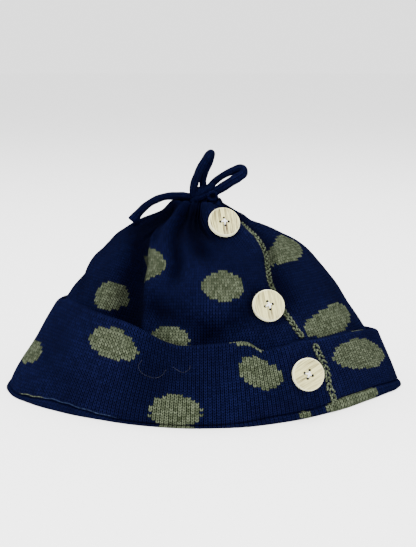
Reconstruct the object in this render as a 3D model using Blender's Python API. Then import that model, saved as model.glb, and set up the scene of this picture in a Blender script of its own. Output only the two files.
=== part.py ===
"""Knitted hat with a turned-up cuff, three sewn-on buttons and a drawstring that gathers the crown.

Run it with blender --background --python part.py, or from Blender's text editor. Metres, +Z up. The hat
stands on its rim: the origin is the middle of the rim on the floor, the front looks along -Y and +X is to
the viewer's right. Angles go round the hat in degrees from the front, positive to the right. A level runs
up the crown from 0 at the rim to 1 at the middle of the top.
"""

from typing import NamedTuple

import bmesh
import bpy
import numpy as np
from mathutils import Matrix, Vector
from mathutils.bvhtree import BVHTree

# Driving sizes of the knitting
HALF_WIDTH = 0.118
HALF_DEPTH = 0.100
CROWN_HEIGHT = 0.114
CROWN_WALL = 0.0026
CUFF_HEIGHT = 0.047
CUFF_WALL = 0.0034
CUFF_GAP = 0.0008
CUFF_STAND_OFF = 0.0030
FOLD_DEPTH = 0.010
HEM_RISE = 0.007
HEM_STEP = 0.0008
HEM_ROLL = 0.0006
HEM_ROLL_SHARE = 0.35

# Driving sizes of the buttons
BUTTON_RADIUS = 0.0092
BUTTON_THICKNESS = 0.0032

# Driving sizes of the drawstring
CORD_RADIUS = 0.0022
KNOT_SIZE = 0.0088

# The room left between pieces, and how finely the skins are divided
SEAT_GAP = 0.0004
COLUMNS = 108
BUTTON_COLUMNS = 28
CORD_RESOLUTION = 2

# The finest steps: points closer than this are one, and a cord or knot is moved by this much at a time
SAME_POINT = 1e-6
MOVE_STEP = 0.0002


class Section(NamedTuple):
    """A level of the crown: height in crown heights, sides in half widths, front and back in half depths."""

    height: float
    left: float
    right: float
    front: float
    back: float
    lens: float


CROWN_SECTIONS = (
    Section(height=0.000, left=0.985, right=0.983, front=0.930, back=0.950, lens=0.50),
    Section(height=0.123, left=0.920, right=0.937, front=0.902, back=0.930, lens=0.47),
    Section(height=0.250, left=0.842, right=0.867, front=0.860, back=0.900, lens=0.43),
    Section(height=0.370, left=0.772, right=0.796, front=0.805, back=0.862, lens=0.36),
    Section(height=0.480, left=0.708, right=0.724, front=0.740, back=0.815, lens=0.30),
    Section(height=0.580, left=0.646, right=0.664, front=0.655, back=0.760, lens=0.24),
    Section(height=0.680, left=0.580, right=0.584, front=0.560, back=0.690, lens=0.18),
    Section(height=0.770, left=0.499, right=0.491, front=0.465, back=0.600, lens=0.12),
    Section(height=0.840, left=0.430, right=0.372, front=0.378, back=0.485, lens=0.06),
    Section(height=0.895, left=0.347, right=0.254, front=0.300, back=0.365, lens=0.00),
    Section(height=0.945, left=0.250, right=0.158, front=0.222, back=0.245, lens=0.00),
    Section(height=1.003, left=0.158, right=0.108, front=0.140, back=0.130, lens=0.00),
    Section(height=0.968, left=0.082, right=0.070, front=0.085, back=0.080, lens=0.00),
    Section(height=0.950, left=0.000, right=0.000, front=0.000, back=0.000, lens=0.00),
)
LENS_SKEW = 0.5
LENS_TIP = 0.5


class Fold(NamedTuple):
    """A valley up the crown: its angles at three levels, its spread to each side, its depth and its ends."""

    high: float
    middle: float
    low: float
    left_spread: float
    right_spread: float
    depth: float
    start: float
    end: float


# Angles and spreads in degrees, depth in fold depths, start and end as levels
FOLD_LEVELS = (0.25, 0.50, 0.78)
FOLD_FADE = 0.09
FOLDS = (
    Fold(high=-60, middle=-35, low=-28, left_spread=12, right_spread=4, depth=0.80, start=0.12, end=0.86),
    Fold(high=-48, middle=-25, low=-23, left_spread=3, right_spread=3, depth=0.24, start=0.54, end=0.86),
    Fold(high=-28, middle=-14, low=-12, left_spread=4, right_spread=4, depth=0.42, start=0.40, end=0.86),
    Fold(high=-14, middle=2, low=4, left_spread=6, right_spread=5, depth=0.42, start=0.48, end=0.86),
    Fold(high=-5, middle=18, low=18, left_spread=6, right_spread=6, depth=0.26, start=0.56, end=0.86),
    Fold(high=70, middle=37, low=32, left_spread=5, right_spread=6, depth=0.36, start=0.26, end=0.86),
    Fold(high=95, middle=84, low=80, left_spread=5, right_spread=6, depth=0.24, start=0.55, end=0.86),
    Fold(high=118, middle=112, low=108, left_spread=7, right_spread=5, depth=0.40, start=0.30, end=0.86),
    Fold(high=143, middle=139, low=136, left_spread=5, right_spread=6, depth=0.30, start=0.50, end=0.86),
    Fold(high=167, middle=165, low=160, left_spread=6, right_spread=8, depth=0.48, start=0.26, end=0.86),
    Fold(high=-168, middle=-170, low=-172, left_spread=5, right_spread=5, depth=0.26, start=0.52, end=0.86),
    Fold(high=-148, middle=-146, low=-146, left_spread=8, right_spread=6, depth=0.44, start=0.28, end=0.86),
    Fold(high=-126, middle=-120, low=-116, left_spread=5, right_spread=5, depth=0.28, start=0.50, end=0.86),
    Fold(high=-102, middle=-92, low=-86, left_spread=6, right_spread=5, depth=0.26, start=0.48, end=0.86),
    Fold(high=-78, middle=-62, low=-58, left_spread=6, right_spread=6, depth=0.20, start=0.58, end=0.86),
)


class Crease(NamedTuple):
    """A slanting crease across the crown from one place to another: spread and depth in fold depths."""

    from_angle: float
    from_level: float
    to_angle: float
    to_level: float
    spread: float
    depth: float


CREASES = (
    Crease(from_angle=-25, from_level=0.36, to_angle=2, to_level=0.29, spread=0.55, depth=0.26),
    Crease(from_angle=-2, from_level=0.24, to_angle=25, to_level=0.37, spread=0.65, depth=0.34),
    Crease(from_angle=-100, from_level=0.42, to_angle=-68, to_level=0.36, spread=0.70, depth=0.22),
    Crease(from_angle=122, from_level=0.36, to_angle=152, to_level=0.42, spread=0.70, depth=0.28),
)


class Dent(NamedTuple):
    """A soft dent that the cuff and the crown behind it share: spread in degrees, depth in fold depths."""

    angle: float
    lean: float
    spread: float
    depth: float


DENT_START = 0.03
DENT_END = 0.46
DENT_FADE = 0.12
DENTS = (
    Dent(angle=-14, lean=-14, spread=6, depth=0.22),
    Dent(angle=18, lean=14, spread=5, depth=0.11),
    Dent(angle=-62, lean=8, spread=9, depth=0.10),
    Dent(angle=72, lean=-8, spread=8, depth=0.08),
    Dent(angle=112, lean=10, spread=8, depth=0.16),
    Dent(angle=158, lean=-10, spread=9, depth=0.20),
    Dent(angle=-118, lean=12, spread=9, depth=0.18),
    Dent(angle=-158, lean=-8, spread=7, depth=0.12),
)


class Edge(NamedTuple):
    """The cuff at one angle: its top's lift, how far the top stands off, and the hem that shows below it."""

    angle: float
    lift: float
    stand_off: float
    hem: float


# Lift in cuff heights, stand-off in cuff stand-offs, hem in hem rises
EDGE_SOFTNESS = 1.5
CUFF_EDGES = (
    Edge(angle=-180, lift=0.000, stand_off=0.60, hem=0.18),
    Edge(angle=-150, lift=0.060, stand_off=0.65, hem=0.18),
    Edge(angle=-120, lift=0.090, stand_off=0.55, hem=0.18),
    Edge(angle=-90, lift=0.140, stand_off=0.40, hem=0.18),
    Edge(angle=-70, lift=0.235, stand_off=0.45, hem=0.19),
    Edge(angle=-56, lift=0.210, stand_off=0.45, hem=0.44),
    Edge(angle=-49, lift=0.190, stand_off=0.48, hem=0.62),
    Edge(angle=-40, lift=0.160, stand_off=0.50, hem=0.58),
    Edge(angle=-30, lift=0.125, stand_off=0.55, hem=0.30),
    Edge(angle=-24, lift=0.075, stand_off=0.60, hem=0.18),
    Edge(angle=-15, lift=-0.047, stand_off=0.60, hem=0.16),
    Edge(angle=-8, lift=-0.092, stand_off=0.65, hem=0.16),
    Edge(angle=3, lift=-0.068, stand_off=0.65, hem=0.17),
    Edge(angle=12, lift=-0.048, stand_off=0.75, hem=0.32),
    Edge(angle=15, lift=-0.062, stand_off=0.70, hem=0.42),
    Edge(angle=19, lift=-0.188, stand_off=0.50, hem=0.52),
    Edge(angle=25, lift=-0.155, stand_off=0.70, hem=0.56),
    Edge(angle=32, lift=-0.117, stand_off=0.80, hem=0.54),
    Edge(angle=42, lift=-0.140, stand_off=0.85, hem=0.88),
    Edge(angle=60, lift=-0.152, stand_off=1.00, hem=0.86),
    Edge(angle=74, lift=-0.196, stand_off=1.20, hem=0.70),
    Edge(angle=90, lift=-0.245, stand_off=1.20, hem=0.46),
    Edge(angle=115, lift=-0.200, stand_off=1.00, hem=0.26),
    Edge(angle=145, lift=-0.100, stand_off=0.75, hem=0.18),
)

# The rings of the crown's skin: levels down the outside, then levels up the lining
OUTSIDE_LEVELS = (1.0, 0.93, 0.86, 0.81, 0.76, 0.71, 0.66, 0.61, 0.56, 0.51, 0.46, 0.40, 0.34, 0.28, 0.21,
                  0.14, 0.07)
LINING_LEVELS = (0.06, 0.20, 0.34, 0.48, 0.60, 0.72, 0.83, 0.93, 1.0)

# The rings of the cuff's skin: share of the height, and 0 at its inside to 1 at its outside
CUFF_RINGS = ((0.00, 0.96), (0.25, 1.00), (0.50, 1.00), (0.75, 1.00), (0.94, 0.96), (1.00, 0.68),
              (1.00, 0.32), (0.94, 0.04), (0.75, 0.00), (0.50, 0.00), (0.25, 0.00), (0.00, 0.04))

# A button's forms: its rim, rounding and holes in button radii, its dish in button thicknesses
BUTTON_RIM = 0.20
BUTTON_ROUNDING = 0.09
BUTTON_DISH = 0.22
HOLE_RADIUS = 0.105
HOLE_SPREAD = 0.235
HOLE_COLUMNS = 10


class Button(NamedTuple):
    """A button: where it is sewn on, the way it faces, and its turn about its own middle, in degrees."""

    name: str
    angle: float
    height: float
    on_cuff: bool
    face_angle: float
    face_up: float
    turn: float


# Height in crown heights, or in cuff heights for a button on the cuff
BUTTONS = (
    Button(name="button_top", angle=21, height=0.893, on_cuff=False, face_angle=14, face_up=36, turn=0),
    Button(name="button_middle", angle=26, height=0.529, on_cuff=False, face_angle=14, face_up=26, turn=15),
    Button(name="button_low", angle=30.7, height=0.515, on_cuff=True, face_angle=16, face_up=17, turn=-20),
)

# The drawstring's knot and its stretches, as points from the knot's middle, in knot sizes
KNOT_SHAPE = (0.95, 0.70, 0.74)
BAND_SHAPE = (0.62, 0.50, 0.30)
BAND_LEAN = 34
STRETCHES = {
    "loop_tall": ((-0.40, -0.20, -0.05), (-0.72, -0.26, 0.22), (-0.66, -0.30, 0.85), (-0.42, -0.32, 1.52),
                  (-0.14, -0.34, 2.10), (0.16, -0.32, 2.60), (0.40, -0.12, 2.92), (0.50, 0.16, 2.88),
                  (0.44, 0.33, 2.54), (0.27, 0.36, 2.10), (0.05, 0.34, 1.60), (-0.08, 0.30, 1.10),
                  (-0.04, 0.26, 0.60), (0.06, 0.22, 0.05)),
    "loop_side": ((0.10, 0.36, -0.05), (0.34, 0.32, 0.54), (0.74, 0.28, 0.98), (1.28, 0.26, 1.38),
                  (1.92, 0.24, 1.70), (2.38, 0.18, 1.88), (2.68, 0.00, 1.82), (2.68, -0.23, 1.58),
                  (2.40, -0.31, 1.36), (2.06, -0.31, 1.16), (1.54, -0.29, 0.82), (1.04, -0.26, 0.50),
                  (0.66, -0.25, 0.26), (0.34, -0.25, 0.02)),
    "tail_left": ((-0.20, 0.00, -0.05), (-0.95, -0.05, -0.02), (-1.50, -0.10, 0.04), (-2.05, -0.16, 0.04),
                  (-2.72, -0.26, -0.02), (-3.38, -0.38, -0.26), (-3.95, -0.50, -0.62), (-4.40, -0.60, -1.06),
                  (-4.84, -0.68, -1.58)),
    "tail_right": ((0.05, 0.00, 0.00), (0.38, -0.35, 0.12), (0.54, -0.70, 0.13), (0.58, -1.02, 0.10)),
}
STRETCH_RINGS = {"loop_tall": 22, "loop_side": 22, "tail_left": 16, "tail_right": 5}


def spline(table, level):
    """A smooth curve through the table's rows, from 0 at its first row to 1 at its last."""
    last = len(table) - 1
    place = np.clip(np.asarray(level, float), 0, 1) * last
    row = np.minimum(place.astype(int), last - 1)
    share = (place - row)[..., None]
    start, stop = table[row], table[row + 1]
    before = np.where((row > 0)[..., None], table[np.maximum(row - 1, 0)], 2 * start - stop)
    after = np.where((row < last - 1)[..., None], table[np.minimum(row + 2, last)], 2 * stop - start)
    slope_in = (stop - before) / 2
    slope_out = (after - start) / 2
    rise = stop - start
    curve = start + slope_in * share
    curve = curve + (3 * rise - 2 * slope_in - slope_out) * share**2
    return curve + (slope_in + slope_out - 2 * rise) * share**3


def unit(vectors):
    """The same directions with a length of one."""
    return vectors / np.maximum(np.linalg.norm(vectors, axis=-1, keepdims=True), 1e-12)


def ramp(value):
    """A smooth step from 0 to 1."""
    share = np.clip(value, 0, 1)
    return share * share * (3 - 2 * share)


def edge(angle, column):
    """A column of the cuff's table at any angle, with its corners softened."""
    angles = [row.angle for row in CUFF_EDGES]
    values = [getattr(row, column) for row in CUFF_EDGES]
    shifts = np.linspace(-1, 1, 5) * EDGE_SOFTNESS
    return np.mean([np.interp(angle + shift, angles, values, period=360) for shift in shifts], axis=0)


def smooth_crown(angle, level):
    """The crown's outside without folds."""
    row = spline(np.array(CROWN_SECTIONS), level)
    height, left, right, front, back, lens = [row[..., k] for k in range(6)]
    side = np.sin(np.radians(angle))
    ahead = np.cos(np.radians(angle))
    lens = lens * (1 + LENS_SKEW * side)
    tip = (ahead**2 + LENS_TIP**2) / (1 + LENS_TIP**2)
    x = side * np.where(side > 0, right, left) * HALF_WIDTH
    y = -ahead * (1 - lens + lens * tip) * np.where(ahead > 0, front, back) * HALF_DEPTH
    return np.stack([x, y, height * CROWN_HEIGHT + 0 * x], -1)


def crown_normal(angle, level):
    """The way the smooth crown faces, straight up at the middle of its top."""
    near = np.clip(level, 0.001, 0.95)
    across = smooth_crown(angle + 0.05, near) - smooth_crown(angle - 0.05, near)
    upward = smooth_crown(angle, near + 0.001) - smooth_crown(angle, near - 0.001)
    facing = unit(np.cross(across, upward))
    top = ramp((np.asarray(level) - 0.88) / 0.12)[..., None]
    return unit(facing * (1 - top) + np.array([0.0, 0.0, 1.0]) * top)


def sideways(angle, level):
    """The level direction straight away from the crown's side."""
    return unit(crown_normal(angle, level) * np.array([1.0, 1.0, 0.0]))


def turn_between(angle, line):
    """The signed angle from a line to a place, the short way round."""
    return (angle - line + 180) % 360 - 180


def dent_depth(angle, level):
    """How far the shared dents push the crown and the cuff in."""
    total = 0.0
    for dent in DENTS:
        away = turn_between(angle, dent.angle + dent.lean * level)
        total = total + dent.depth * np.exp(-((away / dent.spread) ** 2))
    reach = ramp((level - DENT_START) / DENT_FADE) * ramp((DENT_END - level) / DENT_FADE)
    return FOLD_DEPTH * total * reach


def fold_depth(angle, level):
    """How far the folds and creases push the crown in behind the cuff and above it."""
    total = 0.0
    for fold in FOLDS:
        line = np.interp(level, FOLD_LEVELS, (fold.low, fold.middle, fold.high))
        away = turn_between(angle, line)
        spread = np.where(away < 0, fold.left_spread, fold.right_spread)
        spread = spread * (1 + 0.9 * ramp((level - 0.50) / 0.30))
        reach = ramp((level - fold.start) / FOLD_FADE) * ramp((fold.end - level) / FOLD_FADE)
        total = total + fold.depth * np.exp(-((away / spread) ** 2)) * reach
    across = HALF_WIDTH * np.radians(1.0)
    upward = CROWN_HEIGHT * 1.25
    for crease in CREASES:
        run = (crease.to_angle - crease.from_angle) * across
        rise = (crease.to_level - crease.from_level) * upward
        place_x = turn_between(angle, crease.from_angle) * across
        place_y = (level - crease.from_level) * upward
        length = np.hypot(run, rise)
        along = (place_x * run + place_y * rise) / length**2
        off = (place_y * run - place_x * rise) / length
        reach = ramp((along + 0.25) / 0.4) * ramp((1.25 - along) / 0.4)
        total = total + crease.depth * np.exp(-((off / (crease.spread * FOLD_DEPTH)) ** 2)) * reach
    return FOLD_DEPTH * total


def leaning(angle, level):
    """The angle at a level of a column of stitches that starts at an angle: it leans as the folds do."""
    low, middle, high = FOLD_LEVELS
    starts = [fold.middle for fold in FOLDS]
    leans = [fold.high - fold.middle for fold in FOLDS]
    share = np.clip((level - middle) / (high - middle), 0, 1)
    return angle + np.interp(angle, starts, leans, period=360) * share


def crown_surface(angle, level):
    """The crown's outside with its folds."""
    depth = dent_depth(angle, level) + fold_depth(angle, level)
    return smooth_crown(angle, level) - crown_normal(angle, level) * depth[..., None]


def crown_lining(angle, level):
    """The crown's inside, one wall in from its outside."""
    return crown_surface(angle, level) - crown_normal(angle, level) * CROWN_WALL


def level_at(height):
    """The level at which the crown's side passes a height above the floor."""
    levels = np.linspace(0, 0.8, 401)
    heights = spline(np.array(CROWN_SECTIONS), levels)[:, 0] * CROWN_HEIGHT
    return np.interp(height, heights, levels)


def side_point(angle, height, out):
    """A point level with a height, out from the dented side of the crown."""
    level = level_at(height)
    dent = dent_depth(angle, level)[..., None]
    point = smooth_crown(angle, level) - crown_normal(angle, level) * dent
    point = point + sideways(angle, level) * (out + 0 * level)[..., None]
    point[..., 2] = height
    return point


def hem_height(angle):
    """The height of the hem's ledge, which the cuff stands on."""
    return HEM_RISE * edge(angle, "hem")


def cuff_top(angle):
    """The height of the cuff's top edge."""
    return CUFF_HEIGHT * (1 + edge(angle, "lift"))


def cuff_point(angle, share, out):
    """A point in the cuff's wall: share of its height, and 0 at its inside to 1 at its outside."""
    foot = hem_height(angle) + SEAT_GAP
    height = foot + (cuff_top(angle) - foot) * share
    spare = np.maximum(CUFF_STAND_OFF * edge(angle, "stand_off") - CUFF_GAP, 0)
    return side_point(angle, height, CUFF_GAP + spare * share**2 + CUFF_WALL * out)


def crown_rings():
    """The rings of the crown's skin: down the outside, round the hem and up the lining."""
    angle = np.linspace(-180, 180, COLUMNS + 1)
    hem = hem_height(angle)
    rings = []
    for level in OUTSIDE_LEVELS:
        rings.append(crown_surface(leaning(angle, level), np.full_like(angle, level)))
    corner = crown_surface(angle, level_at(hem))
    corner[:, 2] = hem
    rings.append(corner)
    reach = CUFF_GAP + CUFF_WALL + HEM_STEP
    roll = np.minimum(HEM_ROLL_SHARE * hem, HEM_ROLL)
    floor = np.zeros_like(angle)
    rings.append(side_point(angle, hem, reach - HEM_ROLL))
    rings.append(side_point(angle, hem - roll, reach))
    rings.append(side_point(angle, roll, reach))
    rings.append(side_point(angle, floor, reach - HEM_ROLL))
    rings.append(side_point(angle, floor, -CROWN_WALL))
    for level in LINING_LEVELS:
        rings.append(crown_lining(leaning(angle, level), np.full_like(angle, level)))
    return rings


def cuff_rings():
    """The rings of the cuff's skin, back to the first one."""
    angle = np.linspace(-180, 180, COLUMNS + 1)
    rings = [cuff_point(angle, share, out) for share, out in CUFF_RINGS]
    return rings + [rings[0]]


def finished(name, form):
    """An object at the origin with a form's faces turned outwards."""
    bmesh.ops.recalc_face_normals(form, faces=form.faces)
    mesh = bpy.data.meshes.new(name)
    form.to_mesh(mesh)
    form.free()
    return bpy.data.objects.new(name, mesh)


def skin(name, rings):
    """A closed skin of rings of points: a flat grid bent round and joined where its edges meet."""
    columns = len(rings[0]) - 1
    rows = len(rings) - 1
    grid = bmesh.new()
    bmesh.ops.create_grid(grid, x_segments=columns, y_segments=rows, size=0.5)
    for vertex in grid.verts:
        column = round((vertex.co.x + 0.5) * columns)
        row = round((vertex.co.y + 0.5) * rows)
        vertex.co = rings[row][column]
    bmesh.ops.remove_doubles(grid, verts=grid.verts, dist=SAME_POINT)
    return finished(name, grid)


def cord(name, path, is_ring):
    """A round cord along a path, as a mesh."""
    curve = bpy.data.curves.new(name, "CURVE")
    curve.dimensions = "3D"
    curve.bevel_depth = CORD_RADIUS
    curve.bevel_resolution = CORD_RESOLUTION
    curve.use_fill_caps = not is_ring
    route = curve.splines.new("POLY")
    route.use_cyclic_u = is_ring
    route.points.add(len(path) - 1)
    for point, place in zip(route.points, path):
        point.co = (*place, 1.0)
    guide = bpy.data.objects.new(f"{name}_route", curve)
    bpy.context.scene.collection.objects.link(guide)
    graph = bpy.context.evaluated_depsgraph_get()
    mesh = bpy.data.meshes.new_from_object(guide.evaluated_get(graph))
    bpy.data.objects.remove(guide, do_unlink=True)
    form = bmesh.new()
    form.from_mesh(mesh)
    bpy.data.meshes.remove(mesh)
    bmesh.ops.remove_doubles(form, verts=form.verts, dist=SAME_POINT)
    return finished(name, form)


def surface_tree(objects):
    """One search tree over several meshes."""
    joined = bmesh.new()
    for item in objects:
        joined.from_mesh(item.data)
    bmesh.ops.triangulate(joined, faces=joined.faces)
    tree = BVHTree.FromBMesh(joined)
    joined.free()
    return tree


def is_clear(tree, point, clearance):
    """Whether a point is outside the knitting by at least the clearance."""
    place, normal, face, distance = tree.find_nearest(Vector(point))
    return (Vector(point) - place).dot(normal) > 0 and distance >= clearance


def raised(tree, point, clearance):
    """The point moved straight up until it is clear of the knitting."""
    point = np.array(point)
    for step in range(200):
        if is_clear(tree, point, clearance):
            break
        point = point + np.array([0.0, 0.0, MOVE_STEP])
    return point


def material(name, color, roughness):
    """A plain material."""
    made = bpy.data.materials.new(name)
    made.use_nodes = True
    shader = made.node_tree.nodes["Principled BSDF"]
    shader.inputs["Base Color"].default_value = (*color, 1.0)
    shader.inputs["Roughness"].default_value = roughness
    made.diffuse_color = (*color, 1.0)
    return made


def collection(name):
    """A new collection in the scene."""
    made = bpy.data.collections.new(name)
    bpy.context.scene.collection.children.link(made)
    return made


def combine(target, tool, operation, tools):
    """Adds or cuts one solid with another, which is kept out of the pictures."""
    tools.objects.link(tool)
    tool.hide_render = True
    tool.display_type = "WIRE"
    change = target.modifiers.new(tool.name, "BOOLEAN")
    change.operation = operation
    change.solver = "EXACT"
    change.use_self = operation == "UNION"
    change.object = tool


def lay(item, origin, across, upward, out):
    """Turns and moves an object's points, and leaves the object itself at the origin."""
    for vertex in item.data.vertices:
        old = vertex.co.copy()
        vertex.co = origin + across * old.x + upward * old.y + out * old.z


def button_directions(row):
    """The directions across a button, up it and out of its face."""
    turn = np.radians(row.face_angle)
    up = np.radians(row.face_up)
    spin = np.radians(row.turn)
    out = Vector((np.sin(turn) * np.cos(up), -np.cos(turn) * np.cos(up), np.sin(up)))
    across = Vector((0, 0, 1)).cross(out).normalized()
    upward = out.cross(across)
    spun = across * np.cos(spin) + upward * np.sin(spin)
    return spun, out.cross(spun), out


def button_seat(row, tree, across, upward, out):
    """The middle of a button's back, laid against the knitting below it."""
    angle = np.array([float(row.angle)])
    if row.on_cuff:
        anchor = cuff_point(angle, np.array([row.height]), 1.0)[0]
    else:
        anchor = smooth_crown(angle, level_at(np.array([row.height * CROWN_HEIGHT])))[0]
    away = 4 * BUTTON_RADIUS
    nearest = away + BUTTON_RADIUS
    rounding = BUTTON_RADIUS * BUTTON_ROUNDING
    backs = [(share, 0.0) for share in (0.0, 0.3, 0.6, 0.8, 1 - BUTTON_ROUNDING)] + [(1.0, rounding)]
    for share, height in backs:
        for turn in np.linspace(0, 2 * np.pi, 48, endpoint=False):
            spoke = across * np.cos(turn) + upward * np.sin(turn)
            start = Vector(anchor) + spoke * BUTTON_RADIUS * share + out * away
            place, normal, face, distance = tree.ray_cast(start, -out)
            if place is not None:
                nearest = min(nearest, distance + height)
    return Vector(anchor) + out * (away - nearest + SEAT_GAP)


def disc(radius, low, high, columns):
    """A plain disc round Z between two heights."""
    form = bmesh.new()
    middle = Matrix.Translation((0, 0, (low + high) / 2))
    bmesh.ops.create_cone(form, cap_ends=True, segments=columns, radius1=radius, radius2=radius,
                          depth=high - low, matrix=middle)
    return form


def build_button(row, tree, parts, tools):
    """A button with a raised rim and four holes."""
    across, upward, out = button_directions(row)
    seat = button_seat(row, tree, across, upward, out)
    form = disc(BUTTON_RADIUS, 0, BUTTON_THICKNESS, BUTTON_COLUMNS)
    rims = [line for line in form.edges if abs(line.verts[0].co.z - line.verts[1].co.z) < BUTTON_RADIUS * 0.01]
    bmesh.ops.bevel(form, geom=rims, offset=BUTTON_RADIUS * BUTTON_ROUNDING, offset_type="OFFSET", segments=1,
                    profile=0.5, affect="EDGES", material=-1)
    face = max(form.faces, key=lambda item: item.calc_center_median().z)
    bmesh.ops.inset_region(form, faces=[face], thickness=BUTTON_RADIUS * BUTTON_RIM, depth=0)
    for vertex in face.verts:
        vertex.co.z -= BUTTON_THICKNESS * BUTTON_DISH
    button = finished(row.name, form)
    parts.objects.link(button)
    for k in range(4):
        form = disc(BUTTON_RADIUS * HOLE_RADIUS, -BUTTON_THICKNESS, 2 * BUTTON_THICKNESS, HOLE_COLUMNS)
        hole = finished(f"{row.name}_hole_{k + 1}", form)
        turn = k * np.pi / 2
        spoke = across * np.cos(turn) + upward * np.sin(turn)
        lay(hole, seat + spoke * BUTTON_RADIUS * HOLE_SPREAD, across, upward, out)
        combine(button, hole, "DIFFERENCE", tools)
    lay(button, seat, across, upward, out)
    return button


def knot_middle(tree):
    """The middle of the knot, as low in the gathered top as its shape allows."""
    ways = []
    for tilt in np.radians((-90, -65, -45, -25, -5, 15)):
        for turn in np.linspace(0, 2 * np.pi, 24, endpoint=False):
            ways.append((np.cos(tilt) * np.cos(turn), np.cos(tilt) * np.sin(turn), np.sin(tilt)))
    shell = np.array(ways) * np.array(KNOT_SHAPE) * KNOT_SIZE * 1.06
    pit = CROWN_SECTIONS[-1].height * CROWN_HEIGHT
    middle = np.array([0.0, 0.0, pit + KNOT_SHAPE[2] * KNOT_SIZE])
    while middle[2] < 1.5 * CROWN_HEIGHT:
        if all(is_clear(tree, middle + point, SEAT_GAP) for point in shell):
            break
        middle = middle + np.array([0.0, 0.0, MOVE_STEP])
    return middle


def build_drawstring(tree, parts, tools):
    """The drawstring as one solid: a knot with a band round it, two loops and two tails."""
    middle = knot_middle(tree)
    form = bmesh.new()
    bmesh.ops.create_uvsphere(form, u_segments=14, v_segments=9, radius=KNOT_SIZE)
    for vertex in form.verts:
        vertex.co = Vector(middle + np.array(vertex.co) * np.array(KNOT_SHAPE))
    knot = finished("drawstring", form)
    parts.objects.link(knot)
    lean = np.radians(BAND_LEAN)
    turns = np.linspace(0, 2 * np.pi, 18, endpoint=False)
    wide, deep, lift = np.array(BAND_SHAPE) * KNOT_SIZE
    band = np.stack([np.cos(turns) * wide * np.cos(lean), np.sin(turns) * deep,
                     np.cos(turns) * wide * np.sin(lean) + lift], -1)
    combine(knot, cord("drawstring_band", middle + band, True), "UNION", tools)
    for name, points in STRETCHES.items():
        share = np.linspace(0, 1, STRETCH_RINGS[name])
        path = middle + spline(np.array(points), share) * KNOT_SIZE
        path = np.array([raised(tree, point, CORD_RADIUS * 1.04 + SEAT_GAP) for point in path])
        combine(knot, cord(f"drawstring_{name}", path, False), "UNION", tools)
    return knot


def build():
    """Builds every piece of the hat."""
    for item in list(bpy.data.objects):
        bpy.data.objects.remove(item, do_unlink=True)
    parts = collection("knitted_hat")
    tools = collection("knitted_hat_tools")
    crown = skin("crown", crown_rings())
    cuff = skin("cuff", cuff_rings())
    parts.objects.link(crown)
    parts.objects.link(cuff)
    tree = surface_tree((crown, cuff))
    crown.data.materials.append(material("crown_knit", (0.004, 0.008, 0.036), 0.92))
    cuff.data.materials.append(material("cuff_knit", (0.005, 0.009, 0.036), 0.92))
    for row in BUTTONS:
        button = build_button(row, tree, parts, tools)
        button.data.materials.append(material(f"{row.name}_wood", (0.76, 0.72, 0.50), 0.55))
    drawstring = build_drawstring(tree, parts, tools)
    drawstring.data.materials.append(material("drawstring_cord", (0.004, 0.007, 0.032), 0.90))


build()
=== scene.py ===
"""Knitted cuff hat: dotted wool knitting, a stitched seam with three wooden buttons and a drawstring bow.

Metres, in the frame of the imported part: +Z up, the front looks along -Y, +X is to the viewer's right. Angles
go round the hat in degrees from the front, positive to the right. A level runs up the crown from 0 at the rim
to 1 at the middle of the top.
"""

import logging
import math
from dataclasses import dataclass
from enum import Enum

import bmesh
import bpy
import numpy as np
from mathutils import Matrix, Vector


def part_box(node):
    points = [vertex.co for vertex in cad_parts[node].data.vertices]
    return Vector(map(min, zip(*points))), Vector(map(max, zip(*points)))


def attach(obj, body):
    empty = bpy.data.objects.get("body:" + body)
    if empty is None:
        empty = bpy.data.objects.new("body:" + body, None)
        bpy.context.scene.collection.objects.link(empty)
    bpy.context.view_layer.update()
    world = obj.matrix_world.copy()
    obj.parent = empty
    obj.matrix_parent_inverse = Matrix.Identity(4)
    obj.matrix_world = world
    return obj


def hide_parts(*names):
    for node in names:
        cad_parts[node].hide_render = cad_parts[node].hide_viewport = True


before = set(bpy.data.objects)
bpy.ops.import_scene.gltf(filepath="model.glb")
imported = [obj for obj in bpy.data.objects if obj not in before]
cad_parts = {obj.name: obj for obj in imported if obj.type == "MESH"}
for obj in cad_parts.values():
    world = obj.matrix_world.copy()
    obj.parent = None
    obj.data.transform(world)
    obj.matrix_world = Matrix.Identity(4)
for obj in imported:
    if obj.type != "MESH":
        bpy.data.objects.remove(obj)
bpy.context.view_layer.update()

LOG = logging.getLogger("hat")
BODY = "root"
SAME_POINT = 1e-6
MM = 0.001

Colour = tuple[float, float, float]
Point = tuple[float, float, float]


def unit(vectors: np.ndarray) -> np.ndarray:
    """Scale directions to a length of one.

    Args:
        vectors: directions along the last axis.

    Returns:
        The same directions, each one unit long.
    """
    return vectors / np.maximum(np.linalg.norm(vectors, axis=-1, keepdims=True), 1e-12)


def ramp(value: np.ndarray) -> np.ndarray:
    """Return a smooth step from 0 to 1."""
    share = np.clip(value, 0, 1)
    return share * share * (3 - 2 * share)


def turn_between(angle: np.ndarray, line: float) -> np.ndarray:
    """Return the signed angle from a line to a place, the short way round."""
    return (angle - line + 180) % 360 - 180


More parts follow.
